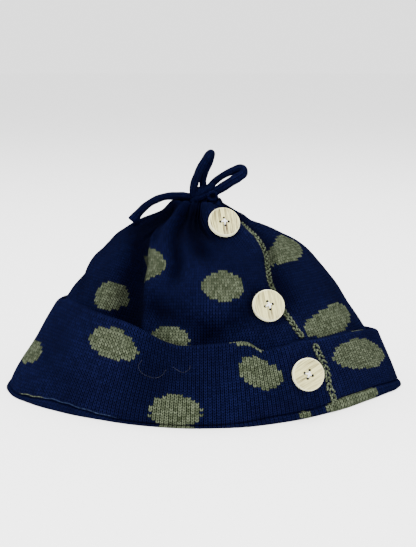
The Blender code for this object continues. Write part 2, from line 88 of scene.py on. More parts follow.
def spline(table: np.ndarray, level: np.ndarray) -> np.ndarray:
    """Follow a smooth curve through the rows of a table.

    Args:
        table: one row for each point of the curve.
        level: places from 0 at the first row to 1 at the last.

    Returns:
        The rows at those places.
    """
    last = len(table) - 1
    place = np.clip(np.asarray(level, float), 0, 1) * last
    row = np.minimum(place.astype(int), last - 1)
    share = (place - row)[..., None]
    start, stop = table[row], table[row + 1]
    before = np.where((row > 0)[..., None], table[np.maximum(row - 1, 0)], 2 * start - stop)
    after = np.where((row < last - 1)[..., None], table[np.minimum(row + 2, last)], 2 * stop - start)
    slope_in = (stop - before) / 2
    slope_out = (after - start) / 2
    rise = stop - start
    curve = start + slope_in * share
    curve = curve + (3 * rise - 2 * slope_in - slope_out) * share**2
    return curve + (slope_in + slope_out - 2 * rise) * share**3


# Height, left, right, front, back and lens of the crown's sections, as shares of its named sizes
SECTIONS = (
    (0.000, 0.985, 0.983, 0.930, 0.950, 0.50),
    (0.123, 0.920, 0.937, 0.902, 0.930, 0.47),
    (0.250, 0.842, 0.867, 0.860, 0.900, 0.43),
    (0.370, 0.772, 0.796, 0.805, 0.862, 0.36),
    (0.480, 0.708, 0.724, 0.740, 0.815, 0.30),
    (0.580, 0.646, 0.664, 0.655, 0.760, 0.24),
    (0.680, 0.580, 0.584, 0.560, 0.690, 0.18),
    (0.770, 0.499, 0.491, 0.465, 0.600, 0.12),
    (0.840, 0.430, 0.372, 0.378, 0.485, 0.06),
    (0.895, 0.347, 0.254, 0.300, 0.365, 0.00),
    (0.945, 0.250, 0.190, 0.222, 0.225, 0.00),
    (1.003, 0.158, 0.062, 0.140, 0.080, 0.00),
    (0.968, 0.082, 0.070, 0.085, 0.080, 0.00),
    (0.950, 0.000, 0.000, 0.000, 0.000, 0.00),
)

# Levels at which a valley has its low, middle and high angle
FOLD_LEVELS = (0.25, 0.50, 0.78)

# High, middle and low angle, spread to the left and right, depth, start and end of each valley
FOLDS = (
    (-60, -35, -28, 12, 4, 0.80, 0.12, 0.86),
    (-48, -25, -23, 3, 3, 0.24, 0.54, 0.86),
    (-28, -14, -12, 4, 4, 0.42, 0.40, 0.86),
    (-14, 2, 4, 6, 5, 0.42, 0.48, 0.86),
    (-5, 18, 18, 6, 6, 0.26, 0.56, 0.86),
    (70, 37, 32, 5, 6, 0.36, 0.26, 0.86),
    (95, 84, 80, 5, 6, 0.24, 0.55, 0.86),
    (118, 112, 108, 7, 5, 0.40, 0.30, 0.86),
    (143, 139, 136, 5, 6, 0.30, 0.50, 0.86),
    (167, 165, 160, 6, 8, 0.48, 0.26, 0.86),
    (-168, -170, -172, 5, 5, 0.26, 0.52, 0.86),
    (-148, -146, -146, 8, 6, 0.44, 0.28, 0.86),
    (-126, -120, -116, 5, 5, 0.28, 0.50, 0.86),
    (-102, -92, -86, 6, 5, 0.26, 0.48, 0.86),
    (-78, -62, -58, 6, 6, 0.20, 0.58, 0.86),
)

# Angle and level at each end, spread and depth of each slanting crease
CREASES = (
    (-25, 0.36, 2, 0.29, 0.55, 0.26),
    (-2, 0.24, 25, 0.37, 0.65, 0.34),
    (-100, 0.42, -68, 0.36, 0.70, 0.22),
    (122, 0.36, 152, 0.42, 0.70, 0.28),
)

# Angle, lean, spread and depth of the soft dents that the cuff and the crown share
DENTS = (
    (-14, -14, 6, 0.22),
    (18, 14, 5, 0.11),
    (-62, 8, 9, 0.10),
    (72, -8, 8, 0.08),
    (112, 10, 8, 0.16),
    (158, -10, 9, 0.20),
    (-118, 12, 9, 0.18),
    (-158, -8, 7, 0.12),
)

# Angle, lift of the cuff's top, its stand-off and the hem that shows below it
CUFF_EDGES = np.array((
    (-180, 0.000, 0.60, 0.18),
    (-150, 0.060, 0.65, 0.18),
    (-120, 0.090, 0.55, 0.18),
    (-90, 0.140, 0.40, 0.18),
    (-70, 0.235, 0.45, 0.19),
    (-56, 0.210, 0.45, 0.44),
    (-49, 0.190, 0.48, 0.62),
    (-40, 0.160, 0.50, 0.58),
    (-30, 0.125, 0.55, 0.30),
    (-24, 0.075, 0.60, 0.18),
    (-15, -0.047, 0.60, 0.16),
    (-8, -0.092, 0.65, 0.16),
    (3, -0.068, 0.65, 0.17),
    (12, -0.048, 0.75, 0.32),
    (15, -0.062, 0.70, 0.42),
    (19, -0.188, 0.50, 0.52),
    (25, -0.155, 0.70, 0.56),
    (32, -0.117, 0.80, 0.54),
    (42, -0.140, 0.85, 0.88),
    (60, -0.152, 1.00, 0.86),
    (74, -0.196, 1.20, 0.70),
    (90, -0.255, 1.20, 0.46),
    (115, -0.310, 1.00, 0.26),
    (145, -0.200, 0.75, 0.18),
))


@dataclass(frozen=True)
class HatForm:
    """The shape of the knitting, worked out from the same named sizes as the solids.

    Sizes are in metres, angles in degrees and levels in shares of the way up the crown. Pleats fade out round
    the calm side, where the top is drawn in least. side_length is the length up the side in crown heights.
    """

    half_width: float = 0.118
    half_depth: float = 0.100
    crown_height: float = 0.114
    crown_wall: float = 0.0026
    cuff_height: float = 0.047
    cuff_wall: float = 0.0034
    cuff_gap: float = 0.0008
    cuff_stand_off: float = 0.0030
    fold_depth: float = 0.010
    hem_rise: float = 0.007
    hem_step: float = 0.0008
    hem_roll: float = 0.0006
    seat_gap: float = 0.0004
    lens_skew: float = 0.5
    lens_tip: float = 0.5
    fold_fade: float = 0.09
    fold_widening: float = 0.9
    crease_over: float = 0.25
    crease_fade: float = 0.4
    side_length: float = 1.25
    dent_start: float = 0.03
    dent_end: float = 0.46
    dent_fade: float = 0.12
    edge_softness: float = 1.5
    pleat_depth: float = 0.0028
    pleat_count: int = 44
    pleat_spread: float = 2.3
    pleat_scatter: float = 3.6
    pleat_fade: float = 0.16
    pleat_end: float = 0.99
    pleat_end_fade: float = 0.05
    calm_side: float = 90.0
    calm_spread: float = 40.0
    calm: float = 0.9
    top_start: float = 0.88
    ripple_depth: float = 0.00035

    def edge(self, angle: np.ndarray, column: int) -> np.ndarray:
        """Read a column of the cuff's table at any angle, with its corners softened.

        Args:
            angle: degrees from the front.
            column: the table's column.

        Returns:
            The column's value at each angle.
        """
        shifts = np.linspace(-1, 1, 5) * self.edge_softness
        reads = [np.interp(angle + s, CUFF_EDGES[:, 0], CUFF_EDGES[:, column], period=360) for s in shifts]
        return np.mean(reads, axis=0)

    def smooth(self, angle: np.ndarray, level: np.ndarray) -> np.ndarray:
        """Work out the crown's outside without folds.

        Args:
            angle: degrees from the front.
            level: levels up the crown.

        Returns:
            Points in metres.
        """
        row = spline(np.array(SECTIONS), level)
        height, left, right, front, back, lens = [row[..., k] for k in range(6)]
        side = np.sin(np.radians(angle))
        ahead = np.cos(np.radians(angle))
        lens = lens * (1 + self.lens_skew * side)
        tip = (ahead**2 + self.lens_tip**2) / (1 + self.lens_tip**2)
        x = side * np.where(side > 0, right, left) * self.half_width
        y = -ahead * (1 - lens + lens * tip) * np.where(ahead > 0, front, back) * self.half_depth
        return np.stack([x, y, height * self.crown_height + 0 * x], -1)

    def normal(self, angle: np.ndarray, level: np.ndarray) -> np.ndarray:
        """Work out the way the smooth crown faces, straight up at the middle of its top.

        Args:
            angle: degrees from the front.
            level: levels up the crown.

        Returns:
            Directions of length one.
        """
        near = np.clip(level, 0.001, 0.95)
        across = self.smooth(angle + 0.05, near) - self.smooth(angle - 0.05, near)
        upward = self.smooth(angle, near + 0.001) - self.smooth(angle, near - 0.001)
        facing = unit(np.cross(across, upward))
        top = ramp((np.asarray(level) - self.top_start) / (1 - self.top_start))[..., None]
        return unit(facing * (1 - top) + np.array([0.0, 0.0, 1.0]) * top)

    def dents(self, angle: np.ndarray, level: np.ndarray) -> np.ndarray:
        """Work out how far the shared dents push the crown and the cuff in.

        Args:
            angle: degrees from the front.
            level: levels up the crown.

        Returns:
            Depths in metres.
        """
        total = 0.0
        for place, lean, spread, depth in DENTS:
            away = turn_between(angle, place + lean * level)
            total = total + depth * np.exp(-((away / spread) ** 2))
        reach = ramp((level - self.dent_start) / self.dent_fade)
        return self.fold_depth * total * reach * ramp((self.dent_end - level) / self.dent_fade)

    def folds(self, angle: np.ndarray, level: np.ndarray) -> np.ndarray:
        """Work out how far the folds and creases push the crown in.

        Args:
            angle: degrees from the front.
            level: levels up the crown.

        Returns:
            Depths in metres.
        """
        total = 0.0
        for high, middle, low, left_spread, right_spread, depth, start, end in FOLDS:
            away = turn_between(angle, np.interp(level, FOLD_LEVELS, (low, middle, high)))
            spread = np.where(away < 0, left_spread, right_spread)
            spread = spread * (1 + self.fold_widening * ramp((level - FOLD_LEVELS[1]) / 0.30))
            reach = ramp((level - start) / self.fold_fade) * ramp((end - level) / self.fold_fade)
            total = total + depth * np.exp(-((away / spread) ** 2)) * reach
        across = self.half_width * np.radians(1.0)
        upward = self.crown_height * self.side_length
        for from_angle, from_level, to_angle, to_level, spread, depth in CREASES:
            run = (to_angle - from_angle) * across
            rise = (to_level - from_level) * upward
            place_x = turn_between(angle, from_angle) * across
            place_y = (level - from_level) * upward
            length = np.hypot(run, rise)
            along = (place_x * run + place_y * rise) / length**2
            off = (place_y * run - place_x * rise) / length
            reach = ramp((along + self.crease_over) / self.crease_fade)
            reach = reach * ramp((1 + self.crease_over - along) / self.crease_fade)
            total = total + depth * np.exp(-((off / (spread * self.fold_depth)) ** 2)) * reach
        return self.fold_depth * total

    def leaning(self, angle: np.ndarray, level: np.ndarray) -> np.ndarray:
        """Lean the columns of stitches as the folds do.

        Args:
            angle: the angle at which each column starts.
            level: levels up the crown.

        Returns:
            Angles in degrees.
        """
        starts = [row[1] for row in FOLDS]
        leans = [row[0] - row[1] for row in FOLDS]
        share = np.clip((level - FOLD_LEVELS[1]) / (FOLD_LEVELS[2] - FOLD_LEVELS[1]), 0, 1)
        return angle + np.interp(angle, starts, leans, period=360) * share

    def pleats(self, column: np.ndarray, level: np.ndarray) -> np.ndarray:
        """Return the depth of the fine pleats that the drawstring gathers.

        Args:
            column: the angle at which each column of stitches starts.
            level: the level up the crown.

        Returns:
            Depths in metres, growing towards the knot.
        """
        draw = np.random.default_rng(11)
        count = self.pleat_count
        spots = np.linspace(-180, 180, count, endpoint=False)
        spots = spots + draw.uniform(-self.pleat_scatter, self.pleat_scatter, count)
        depths = draw.uniform(0.35, 1.0, count)
        starts = draw.uniform(0.58, 0.74, count)
        total = 0.0
        for spot, depth, start in zip(spots, depths, starts):
            away = turn_between(column, spot)
            reach = ramp((level - start) / self.pleat_fade)
            reach = reach * ramp((self.pleat_end - level) / self.pleat_end_fade)
            total = total + depth * np.exp(-((away / self.pleat_spread) ** 2)) * reach
        calm = self.calm * np.exp(-((turn_between(column, self.calm_side) / self.calm_spread) ** 2))
        return self.pleat_depth * total * (1 - calm)

    def ripples(self, angle: np.ndarray, level: np.ndarray) -> np.ndarray:
        """Work out the slight unevenness of soft knitting.

        Args:
            angle: degrees from the front.
            level: levels up the crown.

        Returns:
            Depths in metres.
        """
        turn = np.radians(angle)
        waves = np.sin(7 * turn + 9 * level) + np.sin(13 * turn - 17 * level + 1.3)
        waves = waves + np.sin(23 * turn + 31 * level + 0.4) + np.sin(5 * turn - 37 * level + 2.1)
        return self.ripple_depth * waves / 2 * ramp((0.95 - level) / 0.2)

    def outside(self, angle: np.ndarray, level: np.ndarray, column: np.ndarray | None = None) -> np.ndarray:
        """Work out the crown's outside with its folds.

        Args:
            angle: degrees from the front.
            level: levels up the crown.
            column: the angle at which each column of stitches starts, or None for no pleats.

        Returns:
            Points in metres.
        """
        depth = self.dents(angle, level) + self.folds(angle, level) + self.ripples(angle, level)
        if column is not None:
            depth = depth + self.pleats(column, level)
        return self.smooth(angle, level) - self.normal(angle, level) * depth[..., None]

    def fold_shade_mask(self, angle: np.ndarray, level: np.ndarray, column: np.ndarray) -> np.ndarray:
        """Return how deep in a fold or pleat a place lies, from 0 on the open knitting to 1; this is the mask
        of the painted shade that darkens the knitting in its folds.
        """
        depth = self.dents(angle, level) * 0.8 + self.folds(angle, level) + self.pleats(column, level) * 1.3
        return np.clip(depth / (0.48 * self.fold_depth), 0, 1)

    def level_at(self, height: np.ndarray) -> np.ndarray:
        """Find the level at which the crown's side passes a height.

        Args:
            height: heights above the floor in metres.

        Returns:
            Levels up the crown.
        """
        levels = np.linspace(0, 0.8, 401)
        heights = spline(np.array(SECTIONS), levels)[:, 0] * self.crown_height
        return np.interp(height, heights, levels)

    def side_point(self, angle: np.ndarray, height: np.ndarray, out: np.ndarray) -> np.ndarray:
        """Work out points that stand off from the dented side of the crown.

        Args:
            angle: degrees from the front.
            height: heights above the floor in metres.
            out: distances out from the side in metres.

        Returns:
            Points in metres.
        """
        level = self.level_at(height)
        depth = self.dents(angle, level) + self.ripples(angle, level)
        point = self.smooth(angle, level) - self.normal(angle, level) * depth[..., None]
        sideways = unit(self.normal(angle, level) * np.array([1.0, 1.0, 0.0]))
        point = point + sideways * (out + 0 * level)[..., None]
        point[..., 2] = height
        return point

    def hem(self, angle: np.ndarray) -> np.ndarray:
        """Return the height of the hem's ledge, which the cuff stands on."""
        return self.hem_rise * self.edge(angle, 3)

    def cuff_top(self, angle: np.ndarray) -> np.ndarray:
        """Return the height of the cuff's top edge."""
        return self.cuff_height * (1 + self.edge(angle, 1))

    def cuff_share(self, angle: np.ndarray, height: np.ndarray) -> np.ndarray:
        """Return the share of the cuff's height at a height above the floor."""
        foot = self.hem(angle) + self.seat_gap
        return (height - foot) / (self.cuff_top(angle) - foot)

    def cuff_point(self, angle: np.ndarray, share: np.ndarray, out: np.ndarray) -> np.ndarray:
        """Return a point in the cuff's wall.

        Args:
            angle: degrees from the front.
            share: share of the cuff's height.
            out: 0 at the inside of the wall and 1 at its outside.

        Returns:
            Points in metres.
        """
        foot = self.hem(angle) + self.seat_gap
        height = foot + (self.cuff_top(angle) - foot) * share
        spare = np.maximum(self.cuff_stand_off * self.edge(angle, 2) - self.cuff_gap, 0)
        return self.side_point(angle, height, self.cuff_gap + spare * share**2 + self.cuff_wall * out)


class Graph:
    """Adds shader nodes to one tree and joins them."""

    def __init__(self, tree: bpy.types.NodeTree) -> None:
        """Keep the tree that the nodes go into."""
        self.tree = tree

    def node(self, kind: str, *inputs: object, **settings: object) -> bpy.types.Node:
        """Add a node.

        Args:
            kind: the node's type.
            *inputs: a socket to join or a value to set, in the order of the node's sockets.
            **settings: properties of the node.

        Returns:
            The new node.
        """
        made = self.tree.nodes.new(kind)
        for name, value in settings.items():
            setattr(made, name, value)
        for index, value in enumerate(inputs):
            self.feed(made.inputs[index], value)
        return made

    def feed(self, socket: bpy.types.NodeSocket, value: object) -> None:
        """Join a socket to an input, or set the input's value.

        Args:
            socket: the input.
            value: a socket to join, a value to set, or None to leave it.
        """
        if value is None:
            return
        if isinstance(value, bpy.types.NodeSocket):
            self.tree.links.new(value, socket)
        elif isinstance(value, tuple) and len(value) == 3 and socket.type == "RGBA":
            socket.default_value = (*value, 1.0)
        else:
            socket.default_value = value

    def math(self, operation: str, *inputs: object) -> bpy.types.NodeSocket:
        """Add one step of arithmetic and return its result."""
        return self.node("ShaderNodeMath", *inputs, operation=operation).outputs[0]

    def mix(self, share: object, low: object, high: object, blend: str = "MIX") -> bpy.types.NodeSocket:
        """Mix two colours.

        Args:
            share: 0 for the first colour, 1 for the second.
            low: the first colour.
            high: the second colour.
            blend: how they are mixed.

        Returns:
            The mixed colour.
        """
        made = self.node("ShaderNodeMix", data_type="RGBA", blend_type=blend)
        self.feed(made.inputs["Factor"], share)
        self.feed(made.inputs[6], low)
        self.feed(made.inputs[7], high)
        return made.outputs[2]

    def noise(self, place: object, scale: object, detail: float) -> bpy.types.NodeSocket:
        """Add soft noise.

        Args:
            place: where the noise is read.
            scale: how fine it is.
            detail: how many finer layers it has.

        Returns:
            Its value.
        """
        made = self.node("ShaderNodeTexNoise", place)
        self.feed(made.inputs["Scale"], scale)
        made.inputs["Detail"].default_value = detail
        return made.outputs[0]

    def bump(self, height: object, distance: float, strength: float) -> bpy.types.NodeSocket:
        """Add a bump that follows a height.

        Args:
            height: the height, from 0 to 1.
            distance: the bump's height in metres.
            strength: how far the normal follows it.

        Returns:
            The bumped normal.
        """
        made = self.node("ShaderNodeBump")
        made.inputs["Distance"].default_value = distance
        made.inputs["Strength"].default_value = strength
        self.feed(made.inputs["Height"], height)
        return made.outputs[0]

    def span(self, value: object, low: float, high: float) -> bpy.types.NodeSocket:
        """Map a value from a range to 0..1, held at both ends."""
        made = self.node("ShaderNodeMapRange", value, low, high, 0.0, 1.0)
        return made.outputs[0]

    def split(self, vector: object) -> tuple[bpy.types.NodeSocket, ...]:
        """Split a vector into its three parts."""
        return tuple(self.node("ShaderNodeSeparateXYZ", vector).outputs)

    def join(self, *parts: object) -> bpy.types.NodeSocket:
        """Join three values into a vector."""
        return self.node("ShaderNodeCombineXYZ", *parts).outputs[0]


def effect_group(name: str, inputs: dict[str, float], outputs: dict[str, str]) -> tuple[Graph, Graph, dict]:
    """Start a shader node group.

    Args:
        name: the group's name.
        inputs: names of number inputs with their first values.
        outputs: names of outputs with their socket types.

    Returns:
        The graph, its output node and its inputs by name.
    """
    tree = bpy.data.node_groups.new(name, "ShaderNodeTree")
    for label, value in inputs.items():
        tree.interface.new_socket(label, in_out="INPUT", socket_type="NodeSocketFloat").default_value = value
    for label, kind in outputs.items():
        tree.interface.new_socket(label, in_out="OUTPUT", socket_type=kind)
    graph = Graph(tree)
    start = graph.node("NodeGroupInput")
    finish = graph.node("NodeGroupOutput")
    return graph, finish, {label: start.outputs[label] for label in inputs}


def stitch_group() -> bpy.types.NodeTree:
    """Build the group for plain knitting: V-shaped stitches, their height, their colour pick and the dots.

    Returns:
        The group's tree.
    """
    graph, finish, given = effect_group(
        "plain_knitting",
        {"Slant": 0.55, "Edge": 0.16},
        {"Height": "NodeSocketFloat", "Pick": "NodeSocketFloat", "Dot": "NodeSocketFloat"},
    )
    wale, course = graph.split(graph.node("ShaderNodeUVMap", uv_map="stitch").outputs[0])[:2]
    side = graph.math("SUBTRACT", graph.math("FRACT", wale), 0.5)
    away = graph.math("MULTIPLY", graph.math("ABSOLUTE", side), 2.0)
    lift = graph.math("MULTIPLY", away, given["Slant"])
    slanted = graph.math("SUBTRACT", course, lift)
    rise = graph.math("SUBTRACT", graph.math("FRACT", slanted), 0.5)
    cell = graph.join(graph.math("FLOOR", wale), graph.math("FLOOR", slanted), 0.0)
    pick = graph.node("ShaderNodeTexWhiteNoise", cell, noise_dimensions="2D").outputs[0]
    leg = graph.math("MULTIPLY", graph.math("SUBTRACT", away, 0.5), 2.0)
    steep = graph.math("MULTIPLY_ADD", graph.math("GREATER_THAN", away, 0.5), 0.70, 0.80)
    leg_square = graph.math("MULTIPLY", graph.math("MULTIPLY", leg, leg), steep)
    rise_square = graph.math("MULTIPLY", graph.math("MULTIPLY", rise, rise), 3.0)
    room = graph.math("SUBTRACT", graph.math("SUBTRACT", 1.0, leg_square), rise_square)
    height = graph.math("SQRT", graph.math("MAXIMUM", room, 0.0))
    dot_x, dot_y = graph.split(graph.node("ShaderNodeUVMap", uv_map="dot").outputs[0])[:2]
    steps = graph.node("ShaderNodeAttribute", attribute_name="dot_step").outputs["Vector"]
    step_x, step_y, step_lean = graph.split(steps)
    drop = graph.math("SUBTRACT", graph.math("ADD", rise, lift), graph.math("MULTIPLY", given["Slant"], 0.5))
    far_x = graph.math("SUBTRACT", dot_x, graph.math("MULTIPLY", side, step_x))
    far_y = graph.math("SUBTRACT", dot_y, graph.math("MULTIPLY", drop, step_y))
    far_y = graph.math("SUBTRACT", far_y, graph.math("MULTIPLY", side, step_lean))
    reach = graph.math("ADD", graph.math("MULTIPLY", far_x, far_x), graph.math("MULTIPLY", far_y, far_y))
    uneven = graph.math("MULTIPLY", graph.math("SUBTRACT", pick, 0.5), given["Edge"])
    dot = graph.math("LESS_THAN", graph.math("ADD", reach, uneven), 1.0)
    graph.feed(finish.inputs["Height"], height)
    graph.feed(finish.inputs["Pick"], pick)
    graph.feed(finish.inputs["Dot"], dot)
    return graph.tree


def heather_group() -> bpy.types.NodeTree:
    """Build the group for heathered yarn: soft cloudy changes and fine fibres, each from 0 to 1.

    Returns:
        The group's tree.
    """
    graph, finish, given = effect_group(
        "heathered_yarn",
        {"Cloud": 22.0, "Fibre": 1250.0},
        {"Cloud": "NodeSocketFloat", "Fibre": "NodeSocketFloat"},
    )
    place = graph.node("ShaderNodeTexCoord").outputs["Object"]
    for label, detail in (("Cloud", 2.0), ("Fibre", 1.0)):
        graph.feed(finish.inputs[label], graph.span(graph.noise(place, given[label], detail), 0.35, 0.65))
    return graph.tree


def blank_material(name: str) -> tuple[bpy.types.Material, Graph, bpy.types.Node]:
    """Start a material.

    Args:
        name: the material's name.

    Returns:
        The material, its graph and its shader.
    """
    made = bpy.data.materials.new(name)
    made.use_nodes = True
    return made, Graph(made.node_tree), made.node_tree.nodes["Principled BSDF"]


class Yarn(Enum):
    """The kinds of piece that yarn is worked into."""

    DOTTED_KNITTING = "dotted"
    PLAIN_KNITTING = "plain"
    LOOSE_STRAND = "strand"


@dataclass(frozen=True)
class YarnFinish:
    """Wool yarn, knitted or as a strand.

    Colours are linear. deep is painted shade in the gaps between stitches, and on a loose strand a darker
    fibre tone; body is the stitches' own and pale is their heather. The heather is stitch_shade from stitch to
    stitch and fibre_shade from fibre to fibre, over least_shade.
    """

    name: str
    deep: Colour
    body: Colour
    pale: Colour
    kind: Yarn
    # The dots' colours; the first is painted shade between their stitches
    dot_gap_shade: Colour = (0.0035, 0.0050, 0.0022)
    dot_body: Colour = (0.0205, 0.0258, 0.0135)
    dot_pale: Colour = (0.0860, 0.1000, 0.0640)
    stitch_shade: float = 0.45
    fibre_shade: float = 0.30
    least_shade: float = 0.12
    bump: float = 0.0007
    bump_strength: float = 0.9
    top_roughness: float = 0.86
    sheen: float = 0.006
    sheen_roughness: float = 0.45
    # How far the painted shade darkens the colour deep in a fold
    fold_shade: float = 0.72
    sheen_tint: Colour = (0.30, 0.40, 0.75)

    def material(self, groups: dict[str, bpy.types.NodeTree]) -> bpy.types.Material:
        """Build the material.

        Args:
            groups: the shared node groups by name.

        Returns:
            A material that follows the piece's stitches.
        """
        made, graph, shader = blank_material(self.name)
        heather = graph.node("ShaderNodeGroup", node_tree=groups["heather"]).outputs
        if self.kind is Yarn.LOOSE_STRAND:
            height, pick = heather["Fibre"], heather["Cloud"]
        else:
            stitches = graph.node("ShaderNodeGroup", node_tree=groups["stitch"]).outputs
            height, pick = stitches["Height"], stitches["Pick"]
        fleck = graph.math("MULTIPLY_ADD", pick, self.stitch_shade, self.least_shade)
        mottle = graph.math("MULTIPLY_ADD", heather["Fibre"], self.fibre_shade, fleck)
        cloudy = graph.math("MULTIPLY", mottle, graph.span(heather["Cloud"], -0.6, 1.0))
        yarn = graph.mix(cloudy, self.body, self.pale)
        # On knitting this is painted shade: the low parts of each stitch, between the stitches, take the deep
        # colour
        relief = graph.span(height, 0.05, 0.75)
        colour = graph.mix(relief, self.deep, yarn)
        if self.kind is Yarn.DOTTED_KNITTING:
            dot_yarn = graph.mix(graph.span(mottle, 0.15, 0.85), self.dot_body, self.dot_pale)
            dot_colour = graph.mix(relief, self.dot_gap_shade, dot_yarn)
            colour = graph.mix(stitches["Dot"], colour, dot_colour)
            # Painted shade: the colour is darkened by how deep it lies in a fold, pleat or dent, standing in
            # for the shadow there
            fold_shade_mask = graph.node("ShaderNodeAttribute", attribute_name="fold_shade_mask").outputs["Fac"]
            dark = graph.math("SUBTRACT", 1.0, graph.math("MULTIPLY", fold_shade_mask, self.fold_shade))
            colour = graph.mix(1.0, colour, graph.join(dark, dark, dark), "MULTIPLY")
        graph.feed(shader.inputs["Base Color"], colour)
        rough = graph.node("ShaderNodeMapRange", height, 0.0, 1.0, 1.0, self.top_roughness).outputs[0]
        graph.feed(shader.inputs["Roughness"], rough)
        graph.feed(shader.inputs["Normal"], graph.bump(height, self.bump, self.bump_strength))
        shader.inputs["Specular IOR Level"].default_value = 0.0
        shader.inputs["Sheen Weight"].default_value = self.sheen
        shader.inputs["Sheen Roughness"].default_value = self.sheen_roughness
        shader.inputs["Sheen Tint"].default_value = (*self.sheen_tint, 1.0)
        return made


@dataclass(frozen=True)
class WoodFinish:
    """Pale bare wood with fine straight grain and a painted highlight that lightens its rim, read across the
    button's own face.
    """

    name: str
    grain_turn: float
    grain_share: float
    pale: Colour = (0.54, 0.505, 0.215)
    warm: Colour = (0.050, 0.030, 0.006)
    # Colour of the painted highlight on the rim
    rim_highlight: Colour = (0.86, 0.85, 0.62)
    bump: float = 0.00012
    bump_strength: float = 0.35
    roughness: float = 0.48
    gloss: float = 0.35

    def material(self, groups: dict[str, bpy.types.NodeTree]) -> bpy.types.Material:
        """Build the material.

        Args:
            groups: the shared node groups by name.

        Returns:
            A material with the grain turned on this button's face.
        """
        made, graph, shader = blank_material(self.name)
        grain = graph.node("ShaderNodeGroup", node_tree=groups["grain"])
        grain.inputs["Turn"].default_value = math.radians(self.grain_turn)
        grain.inputs["Share"].default_value = self.grain_share
        wood = graph.mix(grain.outputs["Grain"], self.pale, self.warm)
        # Painted highlight: the rim is mixed towards a paler colour
        graph.feed(shader.inputs["Base Color"], graph.mix(grain.outputs["Rim"], wood, self.rim_highlight))
        relief = graph.bump(grain.outputs["Grain"], self.bump, self.bump_strength)
        graph.feed(shader.inputs["Normal"], relief)
        shader.inputs["Roughness"].default_value = self.roughness
        shader.inputs["Specular IOR Level"].default_value = self.gloss
        return made


def grain_group() -> bpy.types.NodeTree:
    """Build the group for straight wood grain and the mask of the rim's painted highlight, on a button's own
    face map in radii.

    Returns:
        The group's tree.
    """
    graph, finish, given = effect_group(
        "straight_grain",
        {"Turn": 0.0, "Share": 0.6},
        {"Grain": "NodeSocketFloat", "Rim": "NodeSocketFloat"},
    )
    face = graph.node("ShaderNodeUVMap", uv_map="face").outputs[0]
    turned = graph.node("ShaderNodeVectorRotate", face, rotation_type="Z_AXIS")
    graph.feed(turned.inputs["Angle"], given["Turn"])
    across, along = graph.split(turned.outputs[0])[:2]

    def streaks(side: object, side_scale: float, length_scale: float, detail: float) -> bpy.types.NodeSocket:
        """Stretch noise along the grain.

        Args:
            side: the place across the grain.
            side_scale: how fine it is across the grain.
            length_scale: how fine it is along the grain.
            detail: how many finer layers it has.

        Returns:
            The noise.
        """
        wide = graph.math("MULTIPLY", side, side_scale)
        long = graph.math("MULTIPLY", along, length_scale)
        return graph.noise(graph.join(wide, long, 0.0), 1.0, detail)

    bent = graph.math("ADD", across, graph.math("MULTIPLY", streaks(across, 2.0, 0.6, 2.0), 0.25))
    broad = graph.math("MULTIPLY", graph.span(streaks(bent, 6.0, 0.35, 3.0), 0.42, 0.68), 0.50)
    fine = graph.math("MULTIPLY", graph.span(streaks(bent, 15.0, 0.9, 2.0), 0.45, 0.66), 0.50)
    both = graph.math("ADD", broad, fine)
    radius = graph.node("ShaderNodeVectorMath", face, operation="LENGTH").outputs["Value"]
    # The grain fades out towards the rim, and the rim's painted highlight grows towards the edge
    rim = graph.span(radius, 1.0, 0.92)
    shown = graph.math("MULTIPLY", both, graph.math("MULTIPLY", rim, given["Share"]))
    graph.feed(finish.inputs["Grain"], shown)
    graph.feed(finish.inputs["Rim"], graph.math("MULTIPLY_ADD", rim, -0.6, 0.6))
    return graph.tree


def plain_material(name: str, colour: Colour, roughness: float, fleck: float = 0.06) -> bpy.types.Material:
    """Build a material of one hue with slight mottling.

    Args:
        name: the material's name.
        colour: its linear colour.
        roughness: its roughness.
        fleck: how much darker its flecks are.

    Returns:
        The material.
    """
    made, graph, shader = blank_material(name)
    speck = graph.noise(graph.node("ShaderNodeTexCoord").outputs["Object"], 1400.0, 2.0)
    darker = tuple(part * (1 - fleck) for part in colour)
    graph.feed(shader.inputs["Base Color"], graph.mix(graph.span(speck, 0.35, 0.65), colour, darker))
    shader.inputs["Roughness"].default_value = roughness
    return made


def finished(
    name: str, form: bmesh.types.BMesh, material: bpy.types.Material, smooth: bool = True
) -> bpy.types.Object:
    """Turn a form's faces outwards and put it into the scene as a piece.

    Args:
        name: the piece's name.
        form: its mesh, which is freed.
        material: its material.
        smooth: whether it is shaded smooth.

    Returns:
        The piece, with its object at the origin.
    """
    bmesh.ops.recalc_face_normals(form, faces=form.faces)
    mesh = bpy.data.meshes.new(name)
    form.to_mesh(mesh)
    form.free()
    mesh.shade_smooth() if smooth else mesh.shade_flat()
    mesh.materials.append(material)
    piece = bpy.data.objects.new(name, mesh)
    bpy.context.scene.collection.objects.link(piece)
    return piece


def carried(piece: bpy.types.Object, node: str = "") -> bpy.types.Object:
    """Let a piece ride on the hat, and hide the CAD node that it stands for.

    Args:
        piece: a finished piece.
        node: the CAD node that it stands for, if any.

    Returns:
        The same piece.
    """
    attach(piece, BODY)
    if node:
        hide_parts(node)
    return piece


def absorb(form: bmesh.types.BMesh, part: bmesh.types.BMesh) -> None:
    """Add a part to a form and free the part.

    Args:
        form: the mesh that grows.
        part: the mesh that is added to it.
    """
    spare = bpy.data.meshes.new("part")
    part.to_mesh(spare)
    part.free()
    form.from_mesh(spare)
    bpy.data.meshes.remove(spare)


